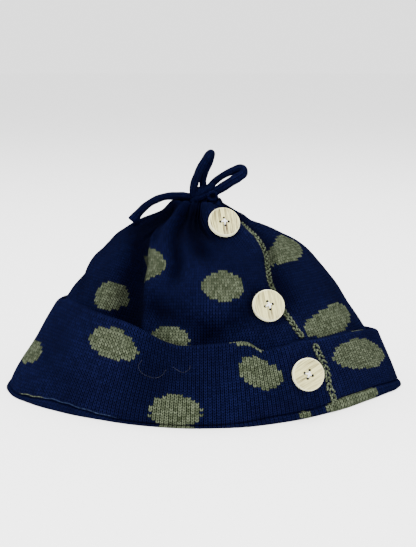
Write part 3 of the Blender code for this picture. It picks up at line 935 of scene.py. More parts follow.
def skin_form(rings: np.ndarray) -> bmesh.types.BMesh:
    """Bend a flat grid round rings of points and join it where its edges meet.

    Args:
        rings: points by ring and by column, the last column on the first.

    Returns:
        A mesh with the grid's own map in the layer named stitch.
    """
    rows, columns = rings.shape[0] - 1, rings.shape[1] - 1
    form = bmesh.new()
    form.loops.layers.uv.new("stitch")
    bmesh.ops.create_grid(form, x_segments=columns, y_segments=rows, size=0.5, calc_uvs=True)
    for vertex in form.verts:
        vertex.co = rings[round((vertex.co.y + 0.5) * rows)][round((vertex.co.x + 0.5) * columns)]
    bmesh.ops.remove_doubles(form, verts=form.verts, dist=SAME_POINT)
    return form


def loop_map(mesh: bpy.types.Mesh) -> np.ndarray:
    """Read a mesh's grid map.

    Args:
        mesh: a skin with the grid's own map.

    Returns:
        Shares round and along the skin, one row for each corner.
    """
    values = np.empty(len(mesh.loops) * 2, np.float32)
    mesh.uv_layers["stitch"].data.foreach_get("uv", values)
    return values.reshape(-1, 2).astype(float)


def write_map(mesh: bpy.types.Mesh, name: str, values: np.ndarray) -> None:
    """Write a map on a mesh, one row for each corner."""
    layer = mesh.uv_layers.get(name) or mesh.uv_layers.new(name=name)
    layer.data.foreach_set("uv", values.astype(np.float32).ravel())


@dataclass(frozen=True)
class Dot:
    """A knitted-in dot: its middle and half sizes in degrees and in courses, and how much it leans.

    fold is the row of FOLDS that hides the dot's left side, or -1.
    """

    angle: float
    course: float
    half_angle: float
    half_course: float
    lean: float = 0.0
    fold: int = -1


@dataclass
class Knitting:
    """Stitches and dots laid over a skin.

    wales is the number of stitch columns round the hat, and course_height, the height of a stitch, is not
    used.
    fold_overlap is how far past a fold's line, in degrees, a dot starts. side_stretch is the share by which
    columns lie closer at the front and back and wider at the sides. hidden is the distance given to a dot
    behind a fold, and no_dot the place on the dot map of a face without a dot.
    """

    wales: int
    course_height: float
    dots: tuple[Dot, ...]
    fold_overlap: float = -2.0
    side_stretch: float = 0.13
    hidden: float = 1e8
    no_dot: float = 9.0

    def lay(self, mesh: bpy.types.Mesh, courses: np.ndarray, levels: np.ndarray, fold_shade_masks: np.ndarray) -> None:
        """Write the stitch map, the dot map, the size of a stitch in dots and the mask of the painted fold
        shade on a mesh.

        Args:
            mesh: a skin with the grid's own map.
            courses: the course of stitches at each ring.
            levels: the level of each ring, for dots that a fold hides in part.
            fold_shade_masks: how deep in a fold each point lies, by ring and by column.
        """
        share = loop_map(mesh)
        ring = share[:, 1] * (len(courses) - 1)
        spot = np.rint(share[:, 0] * (fold_shade_masks.shape[1] - 1)).astype(int)
        deep = fold_shade_masks[np.rint(ring).astype(int), spot]
        # The mask of the painted fold shade, one value at each corner
        shade = mesh.attributes.new("fold_shade_mask", "FLOAT", "CORNER")
        shade.data.foreach_set("value", deep.astype(np.float32))
        angle = -180 + 360 * share[:, 0]
        course = np.interp(ring, np.arange(len(courses)), courses)
        level = np.interp(ring, np.arange(len(levels)), levels)
        counts = np.empty(len(mesh.polygons), np.int32)
        mesh.polygons.foreach_get("loop_total", counts)
        starts = np.concatenate([[0], np.cumsum(counts)[:-1]])
        face_of = np.repeat(np.arange(len(counts)), counts)
        face_angle = np.add.reduceat(angle, starts) / counts
        face_course = np.add.reduceat(course, starts) / counts
        face_level = np.add.reduceat(level, starts) / counts
        nearest = np.zeros(len(counts), int)
        least = np.full(len(counts), self.hidden * 10)
        for index, dot in enumerate(self.dots):
            away = (turn_between(face_angle, dot.angle) / dot.half_angle) ** 2
            away = away + ((face_course - dot.course) / dot.half_course) ** 2
            if dot.fold >= 0:
                high, middle, low = FOLDS[dot.fold][:3]
                line = np.interp(face_level, FOLD_LEVELS, (low, middle, high)) - self.fold_overlap
                away = np.where(turn_between(face_angle, line) < 0, self.hidden, away)
            nearest = np.where(away < least, index, nearest)
            least = np.minimum(away, least)
        table = np.array([(d.angle, d.course, d.half_angle, d.half_course, d.lean) for d in self.dots])
        own = table[nearest[face_of]]
        x = turn_between(angle, own[:, 0]) / own[:, 2]
        y = (course - own[:, 1]) / own[:, 3] - own[:, 4] * x
        x = np.where(least[face_of] > self.hidden / 10, self.no_dot, x)
        crowding = 1 + 2 * self.side_stretch * np.cos(2 * np.radians(angle))
        step_x = 360 / (self.wales * crowding) / own[:, 2]
        steps = np.stack([step_x, 1 / own[:, 3], -own[:, 4] * step_x], -1)
        write_map(mesh, "dot", np.stack([x, y], -1))
        layer = mesh.attributes.new("dot_step", "FLOAT_VECTOR", "CORNER")
        layer.data.foreach_set("vector", steps.astype(np.float32).ravel())
        turn = share[:, 0] + self.side_stretch * np.sin(2 * np.radians(angle)) / (2 * np.pi)
        write_map(mesh, "stitch", np.stack([turn * self.wales, course], -1))


@dataclass
class Crown:
    """The gathered crown with its folds, pleats, rolled hem and lining."""

    form: HatForm
    columns: int = 540
    outside_rings: int = 118
    lining_rings: int = 40
    wales: int = 250
    course_height: float = 0.00175
    first_level: float = 0.035
    lining_level: float = 0.05
    hem_rings: int = 9
    hem_start: float = 80.0
    hem_end: float = -90.0
    hem_courses: float = 3.5
    lining_lift: float = 0.0006
    # Angle and level of each dot's middle, its width and height in mm, its lean, and the fold that hides it
    dots: tuple[tuple[float, float, float, float, float, int], ...] = (
        (-45.7, 0.374, 23.4, 18.0, 0.0, -1),
        (-30.8, 0.499, 24, 22.5, 0.0, 0),
        (8.6, 0.424, 23.8, 18.5, 0.0, -1),
        (60.4, 0.541, 38, 18.0, 0.45, -1),
        (-12.9, 0.246, 25.6, 16.6, 0.0, -1),
        (57, 0.261, 54, 16.4, 0.36, -1),
        (47, 0.0, 50, 14, 0.0, -1),
        (-7.4, 0.0, 19, 14, 0.0, -1),
        (27.8, 0.0, 6.5, 8, 0.0, -1),
        (-107, 0.35, 27, 20, 0.0, -1),
        (105, 0.40, 26, 20, 0.0, -1),
        (-117, 0.53, 26, 20, 0.0, -1),
        (-138, 0.31, 27, 20, 0.0, -1),
        (128, 0.27, 27, 20, 0.0, -1),
        (-157, 0.50, 25, 20, 0.0, -1),
        (150, 0.48, 26, 20, 0.0, -1),
        (178, 0.30, 27, 20, 0.0, -1),
    )

    def profile(self) -> tuple[np.ndarray, np.ndarray]:
        """Measure the crown's side from the rim up.

        Returns:
            Levels, and the length up the side to each in metres.
        """
        levels = np.linspace(0, 1, 201)
        sides = [self.form.smooth(np.full_like(levels, a), levels) for a in (-60.0, 0.0, 60.0, 180.0)]
        steps = np.mean([np.linalg.norm(np.diff(side, axis=0), axis=-1) for side in sides], axis=0)
        return levels, np.concatenate([[0.0], np.cumsum(steps)])

    def courses_at(self, level: np.ndarray) -> np.ndarray:
        """Return the course of stitches at a level."""
        levels, lengths = self.profile()
        return np.interp(level, levels, lengths) / self.course_height

    def knitted_dots(self) -> tuple[Dot, ...]:
        """Work out each dot's half sizes in degrees and courses from its size in millimetres.

        Returns:
            The dots in the knitting's own units.
        """
        made = []
        for angle, level, wide, tall, lean, fold in self.dots:
            here = np.array([level])
            edge = self.form.smooth(np.array([angle - 1.0, angle + 1.0]), np.repeat(here, 2))
            degree = np.linalg.norm(edge[1] - edge[0]) / 2
            shift = float(self.form.leaning(np.array([float(angle)]), here)[0]) - angle
            column = angle - shift
            course = float(self.courses_at(here)[0])
            half_angle, half_course = wide * MM / 2 / degree, tall * MM / 2 / self.course_height
            made.append(Dot(column, course, half_angle, half_course, lean, fold))
        return tuple(made)

    def build(self, material: bpy.types.Material) -> bpy.types.Object:
        """Build the crown.

        Args:
            material: the dotted knitting.

        Returns:
            The piece, which stands for the CAD crown.
        """
        form = self.form
        column = np.linspace(-180, 180, self.columns + 1)
        hem = form.hem(column)
        rows, fold_shade_masks = [], []
        for level in np.linspace(1.0, self.first_level, self.outside_rings):
            here = np.full_like(column, level)
            angle = form.leaning(column, here)
            rows.append((form.outside(angle, here, column), float(self.courses_at(level)), level))
            # How deep each point lies in a fold, by which the colour is darkened as painted shade
            fold_shade_masks.append(form.fold_shade_mask(angle, here, column))
        rows.append((form.side_point(column, hem, 0 * hem), 2.0, 0.0))
        reach = form.cuff_gap + form.cuff_wall + form.hem_step
        for turn in np.linspace(self.hem_start, self.hem_end, self.hem_rings):
            lift = hem / 2 * (1 + np.sin(np.radians(turn)))
            out = reach - form.hem_roll * 1.6 * (1 - np.cos(np.radians(turn)))
            share = (self.hem_start - turn) / (self.hem_start - self.hem_end)
            rows.append((form.side_point(column, lift, out), 1.5 - share * self.hem_courses, 0.0))
        floor = 0 * column
        for out in (0.5, 0.0, -0.6):
            rows.append((form.side_point(column, floor, out * reach), -3.0 - (0.5 - out) * 3, 0.0))
        rows.append((form.side_point(column, floor + self.lining_lift, -form.crown_wall), -7.0, 0.0))
        for level in np.linspace(self.lining_level, 1.0, self.lining_rings):
            here = np.full_like(column, level)
            angle = form.leaning(column, here)
            ring = form.outside(angle, here, column) - form.normal(angle, here) * form.crown_wall
            rows.append((ring, float(self.courses_at(level)), level))
        rings, courses, marks = (np.array(part) for part in zip(*rows))
        piece = finished("crown_knitting", skin_form(rings), material)
        fold_shade_masks += [floor] * (len(rings) - len(fold_shade_masks))
        knitting = Knitting(self.wales, self.course_height, self.knitted_dots())
        knitting.lay(piece.data, courses, marks, np.array(fold_shade_masks))
        return carried(piece, "crown")


@dataclass
class Cuff:
    """The turned-up cuff, a closed band on the hem's ledge."""

    form: HatForm
    columns: int = 540
    outside_rings: int = 44
    inside_rings: int = 22
    wales: int = 250
    course_height: float = 0.00165
    roll: float = 0.045
    # Angle, half angle and half height in courses of the dots that show on the edge itself
    edge_dots: tuple[tuple[float, float, float], ...] = ((14.3, 6.2, 1.0), (64.5, 5.5, 0.7))
    # Angle and height in mm of each dot's middle, its width and height in mm, and its lean
    dots: tuple[tuple[float, float, float, float, float], ...] = (
        (-83, 23.6, 46, 12.8, 0.0),
        (-32.0, 41.0, 37.6, 14.6, -0.03),
        (-7.6, 8.6, 27.6, 20, 0.0),
        (16.9, 27.2, 28, 20.4, -0.10),
        (60.4, 26.4, 53, 25.2, -0.18),
        (102, 12, 30, 17, 0.0),
        (128, 30, 30, 17, 0.0),
        (158, 12, 30, 17, 0.0),
        (-168, 31, 30, 17, 0.0),
        (-140, 13, 30, 17, 0.0),
        (-117, 34, 30, 17, 0.0),
    )

    def knitted_dots(self) -> tuple[Dot, ...]:
        """Work out each dot's half sizes in degrees and courses from its size in millimetres.

        Returns:
            The dots in the knitting's own units.
        """
        made = []
        for angle, height, wide, tall, lean in self.dots:
            here = np.array([0.5, 0.5])
            edge = self.form.cuff_point(np.array([angle - 1.0, angle + 1.0]), here, 1.0)
            degree = np.linalg.norm(edge[1] - edge[0]) / 2
            place = np.array([float(angle)])
            foot = float(self.form.hem(place)[0])
            share = (height * MM - foot) / (float(self.form.cuff_top(place)[0]) - foot)
            course = share * self.form.cuff_height / self.course_height
            made.append(Dot(angle, course, wide * MM / 2 / degree, tall * MM / 2 / self.course_height, lean))
        top = self.form.cuff_height / self.course_height
        mirrored = [Dot(d.angle, 2 * top - d.course, d.half_angle, d.half_course, -d.lean) for d in made]
        edge = [Dot(angle, top, half_angle, half_course) for angle, half_angle, half_course in self.edge_dots]
        return (*made, *mirrored, *edge)

    def build(self, material: bpy.types.Material) -> bpy.types.Object:
        """Build the cuff.

        Args:
            material: the dotted knitting.

        Returns:
            The piece, which stands for the CAD cuff.
        """
        angle = np.linspace(-180, 180, self.columns + 1)
        roll = self.roll
        # Share of the height, place in the wall and course, as a share of the height up and down again
        route = [(0.0, 0.5, -0.05), (0.0, 0.8, -0.02), (0.008, 0.95, 0.0)]
        route += [(share, 1.0, share) for share in np.linspace(0.03, 1 - roll, self.outside_rings)]
        route += [(1 - roll + roll * math.cos(t), 0.5 + 0.5 * math.sin(t), 1 - roll * t / math.radians(90))
                  for t in np.radians((60, 36, 12, -12, -36, -60))]
        route += [(share, 0.0, 2 - share) for share in np.linspace(1 - roll, 0.03, self.inside_rings)]
        route += [(0.0, 0.2, 2.0), (0.0, 0.5, 2.03)]
        shares, outs, courses = np.array(route).T
        rings = [self.form.cuff_point(angle, np.full_like(angle, share), out)
                 for share, out in zip(shares, outs)]
        piece = finished("cuff_knitting", skin_form(np.array(rings)), material)
        level = self.form.level_at(shares * self.form.cuff_height)
        # How deep each point lies in a dent, by which the colour is darkened as painted shade
        fold_shade_masks = np.array([self.form.dents(angle, np.full_like(angle, here)) for here in level])
        courses = courses * (self.form.cuff_height / self.course_height)
        knitting = Knitting(self.wales, self.course_height, self.knitted_dots())
        knitting.lay(piece.data, courses, 0 * courses, fold_shade_masks / self.form.fold_depth * 1.2)
        return carried(piece, "cuff")


class SeamPart(Enum):
    """Which knitting a stretch of the seam lies on."""

    CROWN = "crown"
    CUFF = "cuff"


@dataclass
class Seam:
    """The chain-stitched seam of green yarn, up the cuff and the crown.

    A link has two leaning legs and a knot where they meet. leg_length and knot_place are shares of a link,
    and the other sizes of legs and knots are in yarn radii.
    """

    form: HatForm
    # Angle and level of the route's points on the crown, and angle and height in mm of those on the cuff
    crown_route: tuple[tuple[float, float], ...] = (
        (59.0, 0.724), (52.4, 0.682), (45.5, 0.628), (41.0, 0.570), (38.0, 0.528), (35.2, 0.486),
        (32.5, 0.444), (32.2, 0.414), (32.9, 0.386), (33.6, 0.339), (34.1, 0.294), (34.7, 0.259),
        (36.5, 0.226),
    )
    cuff_route: tuple[tuple[float, float], ...] = (
        (37.3, 38.5), (37.8, 33.5), (38.8, 26.8), (38.8, 20.5), (37.8, 14.5), (38.3, 8.8), (37.4, 2.2),
    )
    crown_pitch: float = 0.0028
    cuff_pitch: float = 0.0035
    crown_spread: float = 0.00115
    cuff_spread: float = 0.00150
    yarn: float = 0.00064
    leg_lean: float = 21.0
    leg_length: float = 0.60
    leg_height: float = 1.25
    knot_width: float = 1.5
    knot_length: float = 1.2
    knot_place: float = 0.46
    sink: float = 0.75

    def line(self, part: SeamPart) -> tuple[np.ndarray, np.ndarray]:
        """Follow a stretch of the seam closely.

        Args:
            part: the knitting that the stretch lies on.

        Returns:
            Points on the knitting, and the way that it faces at each.
        """
        form = self.form
        route = self.crown_route if part is SeamPart.CROWN else self.cuff_route
        angle, place = spline(np.array(route, float), np.linspace(0, 1, 400)).T
        if part is SeamPart.CROWN:
            return form.outside(angle, place), form.normal(angle, place)
        height = place * MM
        share = form.cuff_share(angle, height)
        on_cuff = form.cuff_point(angle, np.clip(share, 0, 1), np.ones_like(share))
        on_hem = form.side_point(angle, height, form.cuff_gap + form.cuff_wall + form.hem_step)
        facing = unit(form.normal(angle, form.level_at(height)) * np.array([1.0, 1.0, 0.0]))
        return np.where(share[:, None] < 0, on_hem, on_cuff), facing

    @staticmethod
    def bead(form: bmesh.types.BMesh, place: Vector, *sides: Vector) -> None:
        """Add a rounded bead of yarn whose half sizes are the three sides."""
        matrix = Matrix.Translation(place) @ Matrix(sides).transposed().to_4x4()
        bmesh.ops.create_uvsphere(form, u_segments=8, v_segments=6, radius=1.0, matrix=matrix)

    def build(self, part: SeamPart, material: bpy.types.Material) -> bpy.types.Object:
        """Build one stretch of links.

        Args:
            part: the knitting that the stretch lies on.
            material: the green yarn.

        Returns:
            The piece.
        """
        points, facing = self.line(part)
        lengths = np.concatenate([[0.0], np.cumsum(np.linalg.norm(np.diff(points, axis=0), axis=-1))])
        pitch = self.crown_pitch if part is SeamPart.CROWN else self.cuff_pitch
        spread = self.crown_spread if part is SeamPart.CROWN else self.cuff_spread
        count = int(lengths[-1] / pitch)
        down = 1.0 if part is SeamPart.CROWN else -1.0
        draw = np.random.default_rng(5)
        form = bmesh.new()
        for index in range(count):
            at = (index + 0.5) * pitch
            row = int(np.searchsorted(lengths, at))
            row = min(max(row, 1), len(points) - 2)
            along = Vector(unit(points[row + 1] - points[row - 1])) * down
            out = Vector(facing[row])
            out = (out - along * out.dot(along)).normalized()
            across = along.cross(out)
            middle = Vector(points[row]) + out * (self.yarn * self.sink)
            for side in (-1.0, 1.0):
                lean = math.radians(side * self.leg_lean + draw.uniform(-4, 4))
                leg = along * math.cos(lean) - across * math.sin(lean)
                flat = leg.cross(out)
                place = middle + across * side * spread + along * draw.uniform(-0.05, 0.05) * pitch
                length = leg * pitch * self.leg_length
                self.bead(form, place, flat * self.yarn, length, out * self.yarn * self.leg_height)
            wide, high = across * self.yarn * self.knot_width, out * self.yarn * self.knot_width
            place = middle + along * pitch * self.knot_place
            self.bead(form, place, wide, along * self.yarn * self.knot_length, high)
        piece = finished(f"seam_{part.value}", form, material)
        return carried(piece)


@dataclass
class Button:
    """A turned wooden button with four holes and its thread, facing out from the knitting."""

    name: str
    face_angle: float
    face_up: float
    turn: float
    finish: WoodFinish
    radius: float = 0.0092
    thickness: float = 0.0032
    hole_radius: float = 0.00085
    hole_spread: float = 0.00236
    thread_radius: float = 0.00019
    turning_steps: int = 72
    hole_sides: int = 20
    sharp_angle: float = 38.0
    thread_lift: float = 0.00030
    cross_lift: float = 0.00018
    strand_lift: float = 0.00008
    wander: float = 0.00006
    # Radius and height of the turned profile, as shares of the button's radius and thickness
    profile: tuple[tuple[float, float], ...] = (
        (0.0, 0.0), (0.90, 0.0), (0.965, 0.05), (0.995, 0.20), (1.0, 0.42), (1.0, 0.66), (0.990, 0.84),
        (0.955, 0.965), (0.915, 1.00), (0.870, 0.99), (0.815, 0.93), (0.72, 0.86), (0.55, 0.81),
        (0.30, 0.79), (0.0, 0.785),
    )

    def directions(self) -> tuple[Vector, Vector, Vector]:
        """Work out which way the button faces.

        Returns:
            The directions across the button, up it and out of its face.
        """
        turn, up, spin = (math.radians(value) for value in (self.face_angle, self.face_up, self.turn))
        out = Vector((math.sin(turn) * math.cos(up), -math.cos(turn) * math.cos(up), math.sin(up)))
        across = Vector((0, 0, 1)).cross(out).normalized()
        upward = out.cross(across)
        spun = across * math.cos(spin) + upward * math.sin(spin)
        return spun, out.cross(spun), out

    def placing(self) -> Matrix:
        """Lay the button where its CAD node is.

        Returns:
            The matrix from the button's own place to the hat's.
        """
        low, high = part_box(self.name)
        across, upward, out = self.directions()
        middle = (Vector(low) + Vector(high)) / 2 - out * self.thickness / 2
        return Matrix.Translation(middle) @ Matrix((across, upward, out)).transposed().to_4x4()

    def disc(self) -> bmesh.types.BMesh:
        """Turn the button's profile round its axis.

        Returns:
            The disc without its holes, its back at the origin.
        """
        form = bmesh.new()
        spots = [form.verts.new((x * self.radius, 0.0, z * self.thickness)) for x, z in self.profile]
        lines = [form.edges.new(pair) for pair in zip(spots, spots[1:])]
        bmesh.ops.spin(form, geom=spots + lines, cent=(0, 0, 0), axis=(0, 0, 1), angle=2 * math.pi,
                       steps=self.turning_steps, use_merge=True)
        bmesh.ops.remove_doubles(form, verts=form.verts, dist=SAME_POINT)
        bmesh.ops.recalc_face_normals(form, faces=form.faces)
        return form

    def build(self, groups: dict[str, bpy.types.NodeTree], thread: bpy.types.Material,
              bore: bpy.types.Material) -> list[bpy.types.Object]:
        """Build the button and its thread.

        Args:
            groups: the shared node groups.
            thread: the white thread's material.
            bore: the dark material inside the holes, painted shade on their walls.

        Returns:
            The wooden piece and the thread.
        """
        wood = finished(f"{self.name}_wood", self.disc(), self.finish.material(groups))
        drill = bmesh.new()
        for hole in range(4):
            spot = Matrix.Rotation(hole * math.pi / 2, 4, "Z")
            spot = spot @ Matrix.Translation((self.hole_spread, 0, self.thickness / 2))
            bmesh.ops.create_cone(drill, cap_ends=True, segments=self.hole_sides, radius1=self.hole_radius,
                                  radius2=self.hole_radius, depth=3 * self.thickness, matrix=spot)
        cutter = finished(f"{self.name}_drill", drill, self.finish.material(groups))
        change = wood.modifiers.new("holes", "BOOLEAN")
        change.operation = "DIFFERENCE"
        change.solver = "EXACT"
        change.object = cutter
        graph = bpy.context.evaluated_depsgraph_get()
        cut = bpy.data.meshes.new_from_object(wood.evaluated_get(graph))
        wood.modifiers.remove(change)
        wood.data = cut
        bpy.data.objects.remove(cutter, do_unlink=True)
        layer = cut.uv_layers.new(name="face")
        for loop in cut.loops:
            place = cut.vertices[loop.vertex_index].co
            layer.data[loop.index].uv = (place.x / self.radius, place.y / self.radius)
        cut.materials.append(bore)
        # Painted shade: the walls inside the holes take the dark material
        for face in cut.polygons:
            reach = math.hypot(face.center.x, face.center.y)
            is_bore = abs(face.normal.z) < 0.5 and reach < self.hole_spread + self.hole_radius * 1.1
            face.material_index = 1 if is_bore else 0
        cut.set_sharp_from_angle(angle=math.radians(self.sharp_angle))
        cut.transform(self.placing())
        strands = finished(f"{self.name}_thread", self.thread_form(), thread)
        strands.data.transform(self.placing())
        return [carried(wood, self.name), carried(strands)]

    def thread_form(self) -> bmesh.types.BMesh:
        """Build the crossed strands that run between opposite holes and through them.

        Returns:
            The strands, in the button's own place.
        """
        form = bmesh.new()
        draw = np.random.default_rng(len(self.name))
        top = 0.79 * self.thickness
        thick = self.thread_radius
        for cross in range(2):
            for strand in range(4):
                shift = (strand - 1.5) * thick * 1.5
                lift = self.thread_lift + self.cross_lift * cross + self.strand_lift * (strand % 2)
                reach = self.hole_spread - self.hole_radius + thick
                half = ((1.0, -0.0030), (1.0, -0.0008), (0.86, 0.0002), (0.45, lift))
                route = [(-x, z) for x, z in half] + [(0.0, lift * 1.25)] + list(reversed(half))
                wander = draw.uniform(-self.wander, self.wander)
                line = np.array([
                    (x * reach, shift * (1 - 0.45 * abs(x)) + wander, top + z + self.thread_lift)
                    for x, z in route])
                turn = np.radians(90 * cross)
                turned = line.copy()
                turned[:, 0] = line[:, 0] * np.cos(turn) - line[:, 1] * np.sin(turn)
                turned[:, 1] = line[:, 0] * np.sin(turn) + line[:, 1] * np.cos(turn)
                turned[:, 2] = np.maximum(turned[:, 2], 0.0002)
                absorb(form, strand_form(spline(turned, np.linspace(0, 1, 25)), np.full(25, thick), 8))
        return form


def tube_rings(path: np.ndarray, radius: np.ndarray, sides: int) -> np.ndarray:
    """Put rings round a path without twisting them.

    Args:
        path: the centreline's points.
        radius: the radius at each point.
        sides: the corners of a ring.

    Returns:
        Points by ring and by corner, the last corner on the first.
    """
    ahead = unit(np.gradient(path, axis=0))
    side = np.cross(ahead[0], (0.0, 0.0, 1.0) if abs(ahead[0][2]) < 0.9 else (0.0, 1.0, 0.0))
    side = side / np.linalg.norm(side)
    turns = np.linspace(0, 2 * np.pi, sides + 1)
    rings = []
    for place, way, size in zip(path, ahead, radius):
        side = side - way * np.dot(side, way)
        side = side / np.linalg.norm(side)
        other = np.cross(way, side)
        rings.append(place + np.outer(np.cos(turns) * size, side) + np.outer(np.sin(turns) * size, other))
    return np.array(rings)


def close_ends(form: bmesh.types.BMesh) -> None:
    """Cap the open ends of a tube."""
    rims = [line for line in form.edges if line.is_boundary]
    bmesh.ops.holes_fill(form, edges=rims, sides=0)


def strand_form(path: np.ndarray, radius: np.ndarray, sides: int) -> bmesh.types.BMesh:
    """Build a round strand with closed ends along a path.

    Args:
        path: the centreline's points.
        radius: the radius at each point.
        sides: the corners of a ring.

    Returns:
        The strand.
    """
    form = skin_form(tube_rings(path, radius, sides))
    close_ends(form)
    return form


class CordEnd(Enum):
    """What a stretch of the cord ends in."""

    OBJECT = "object"
    BARE = "bare"


@dataclass
class Drawstring:
    """The knitted cord: a knot with a wrap round it, two loops and two tails.

    Routes are in knot sizes from the knot's middle, and swells in cord radii along a stretch.
    """

    radius: float = 0.0022
    middle: Point = (0.0, 0.0, 0.1160)
    knot_size: float = 0.0088
    wales: int = 9
    course_height: float = 0.0011
    sides: int = 28
    loop_tall: tuple[Point, ...] = (
        (-0.40, -0.20, -0.05), (-0.72, -0.26, 0.22), (-0.66, -0.30, 0.85), (-0.42, -0.32, 1.52),
        (-0.14, -0.34, 2.10), (0.16, -0.32, 2.60), (0.40, -0.12, 2.92), (0.50, 0.16, 2.88),
        (0.44, 0.33, 2.54), (0.27, 0.36, 2.10), (0.05, 0.34, 1.60), (-0.08, 0.30, 1.10),
        (-0.04, 0.26, 0.60), (0.06, 0.22, 0.05),
    )
    loop_side: tuple[Point, ...] = (
        (0.10, 0.36, -0.05), (0.34, 0.32, 0.54), (0.74, 0.28, 0.98), (1.28, 0.26, 1.38), (1.92, 0.24, 1.70),
        (2.38, 0.18, 1.88), (2.68, 0.00, 1.82), (2.68, -0.23, 1.58), (2.40, -0.31, 1.36), (2.06, -0.31, 1.16),
        (1.54, -0.29, 0.82), (1.04, -0.26, 0.50), (0.66, -0.25, 0.26), (0.34, -0.25, 0.02),
    )
    tail_left: tuple[Point, ...] = (
        (-0.20, 0.00, -0.05), (-0.95, -0.05, -0.02), (-1.50, -0.10, 0.04), (-2.05, -0.16, 0.04),
        (-2.72, -0.26, -0.02), (-3.38, -0.38, -0.26), (-3.95, -0.50, -0.62), (-4.40, -0.60, -1.06),
        (-4.84, -0.68, -1.58),
    )
    tail_right: tuple[Point, ...] = (
        (0.05, 0.00, 0.00), (0.38, -0.35, 0.12), (0.54, -0.70, 0.13), (0.58, -1.02, 0.10),
    )
    tall_swell: tuple[float, ...] = (0.95, 1.10, 1.15, 1.10, 1.00, 1.05, 1.05, 1.00, 0.90)
    side_swell: tuple[float, ...] = (0.85, 0.92, 0.95, 1.15, 1.08, 1.32, 1.32, 1.25, 0.95)
    left_swell: tuple[float, ...] = (1.00, 1.00, 1.05, 1.08, 1.02, 1.02, 1.04, 1.14, 1.42)
    loop_points: int = 90
    tail_points: int = 64
    stub_points: int = 22
    stub_swell: float = 0.50
    lump_size: float = 0.035
    lump_turn: float = 0.55
    # Size and push of the rings that close a plain end and a turned-in one
    plain_end: tuple[tuple[float, float], ...] = ((0.97, 0.10), (0.86, 0.19), (0.70, 0.22))
    hollow_end: tuple[tuple[float, float], ...] = (
        (0.98, 0.10), (0.88, 0.20), (0.72, 0.20), (0.56, 0.08), (0.46, -0.25), (0.40, -0.60),
    )
    # Half width, half depth and half height of the knot's heart, in knot sizes
    heart: Point = (0.93, 0.66, 0.72)
    heart_lumps: float = 0.05
    heart_wales: int = 20
    heart_courses: int = 16
    wrap_thick: float = 0.98
    wrap_courses: int = 34
    # Lean in degrees, and width, depth, lift and shift in knot sizes of the wraps
    wraps: tuple[tuple[float, float, float, float, float], ...] = (
        (34, 0.66, 0.50, 0.34, 0.0),
        (26, 0.74, 0.54, 0.00, -0.08),
    )

    def route(self, points: tuple[Point, ...], count: int) -> np.ndarray:
        """Follow a stretch's points smoothly, in metres."""
        return np.array(self.middle) + spline(np.array(points), np.linspace(0, 1, count)) * self.knot_size

    def tube(self, name: str, path: np.ndarray, radius: np.ndarray, material: bpy.types.Material,
             end: tuple[tuple[float, float], ...]) -> bpy.types.Object:
        """Build one stretch of knitted cord.

        Args:
            name: the piece's name.
            path: its centreline.
            radius: its radius at each point.
            material: the cord's knitting.
            end: size and push of the rings that close its far end.

        Returns:
            The piece.
        """
        rings = tube_rings(path, radius, self.sides)
        way = unit(path[-1] - path[-2])
        last = rings[-1]
        for size, push in end:
            ring = path[-1] + (last - path[-1]) * size + way * push * radius[-1]
            rings = np.concatenate([rings, ring[None]])
        form = skin_form(rings)
        close_ends(form)
        piece = finished(name, form, material)
        share = loop_map(piece.data)
        steps = np.linalg.norm(np.diff(rings.mean(axis=1), axis=0), axis=-1)
        lengths = np.concatenate([[0.0], np.cumsum(steps)])
        along = np.interp(share[:, 1] * (len(rings) - 1), np.arange(len(rings)), lengths)
        write_map(piece.data, "stitch", np.stack([share[:, 0] * self.wales, along / self.course_height], -1))
        return carried(piece, "drawstring")

    def build(self, material: bpy.types.Material) -> list[bpy.types.Object]:
        """Build the loops, the tails and the knot.

        Args:
            material: the cord's knitting.

        Returns:
            The pieces, cords first.
        """
        made = []
        for name, points, count, far_end, swell in (
            ("loop_tall", self.loop_tall, self.loop_points, CordEnd.OBJECT, self.tall_swell),
            ("loop_side", self.loop_side, self.loop_points, CordEnd.OBJECT, self.side_swell),
            ("tail_left", self.tail_left, self.tail_points, CordEnd.BARE, self.left_swell),
        ):
            path = self.route(points, count)
            share = np.linspace(0, 1, count)
            radius = self.radius * np.interp(share, np.linspace(0, 1, len(swell)), swell)
            radius = radius * (1 + self.lump_size * np.sin(np.arange(count) * self.lump_turn))
            piece = self.tube(f"drawstring_{name}", path, radius, material, self.plain_end)
            made.append(piece)
        path = self.route(self.tail_right, self.stub_points)
        radius = self.radius * (1 + self.stub_swell * ramp((np.arange(self.stub_points) - 5) / 12))
        made.append(self.tube("drawstring_tail_right", path, radius, material, self.hollow_end))
        made.append(self.knot(material))
        return made

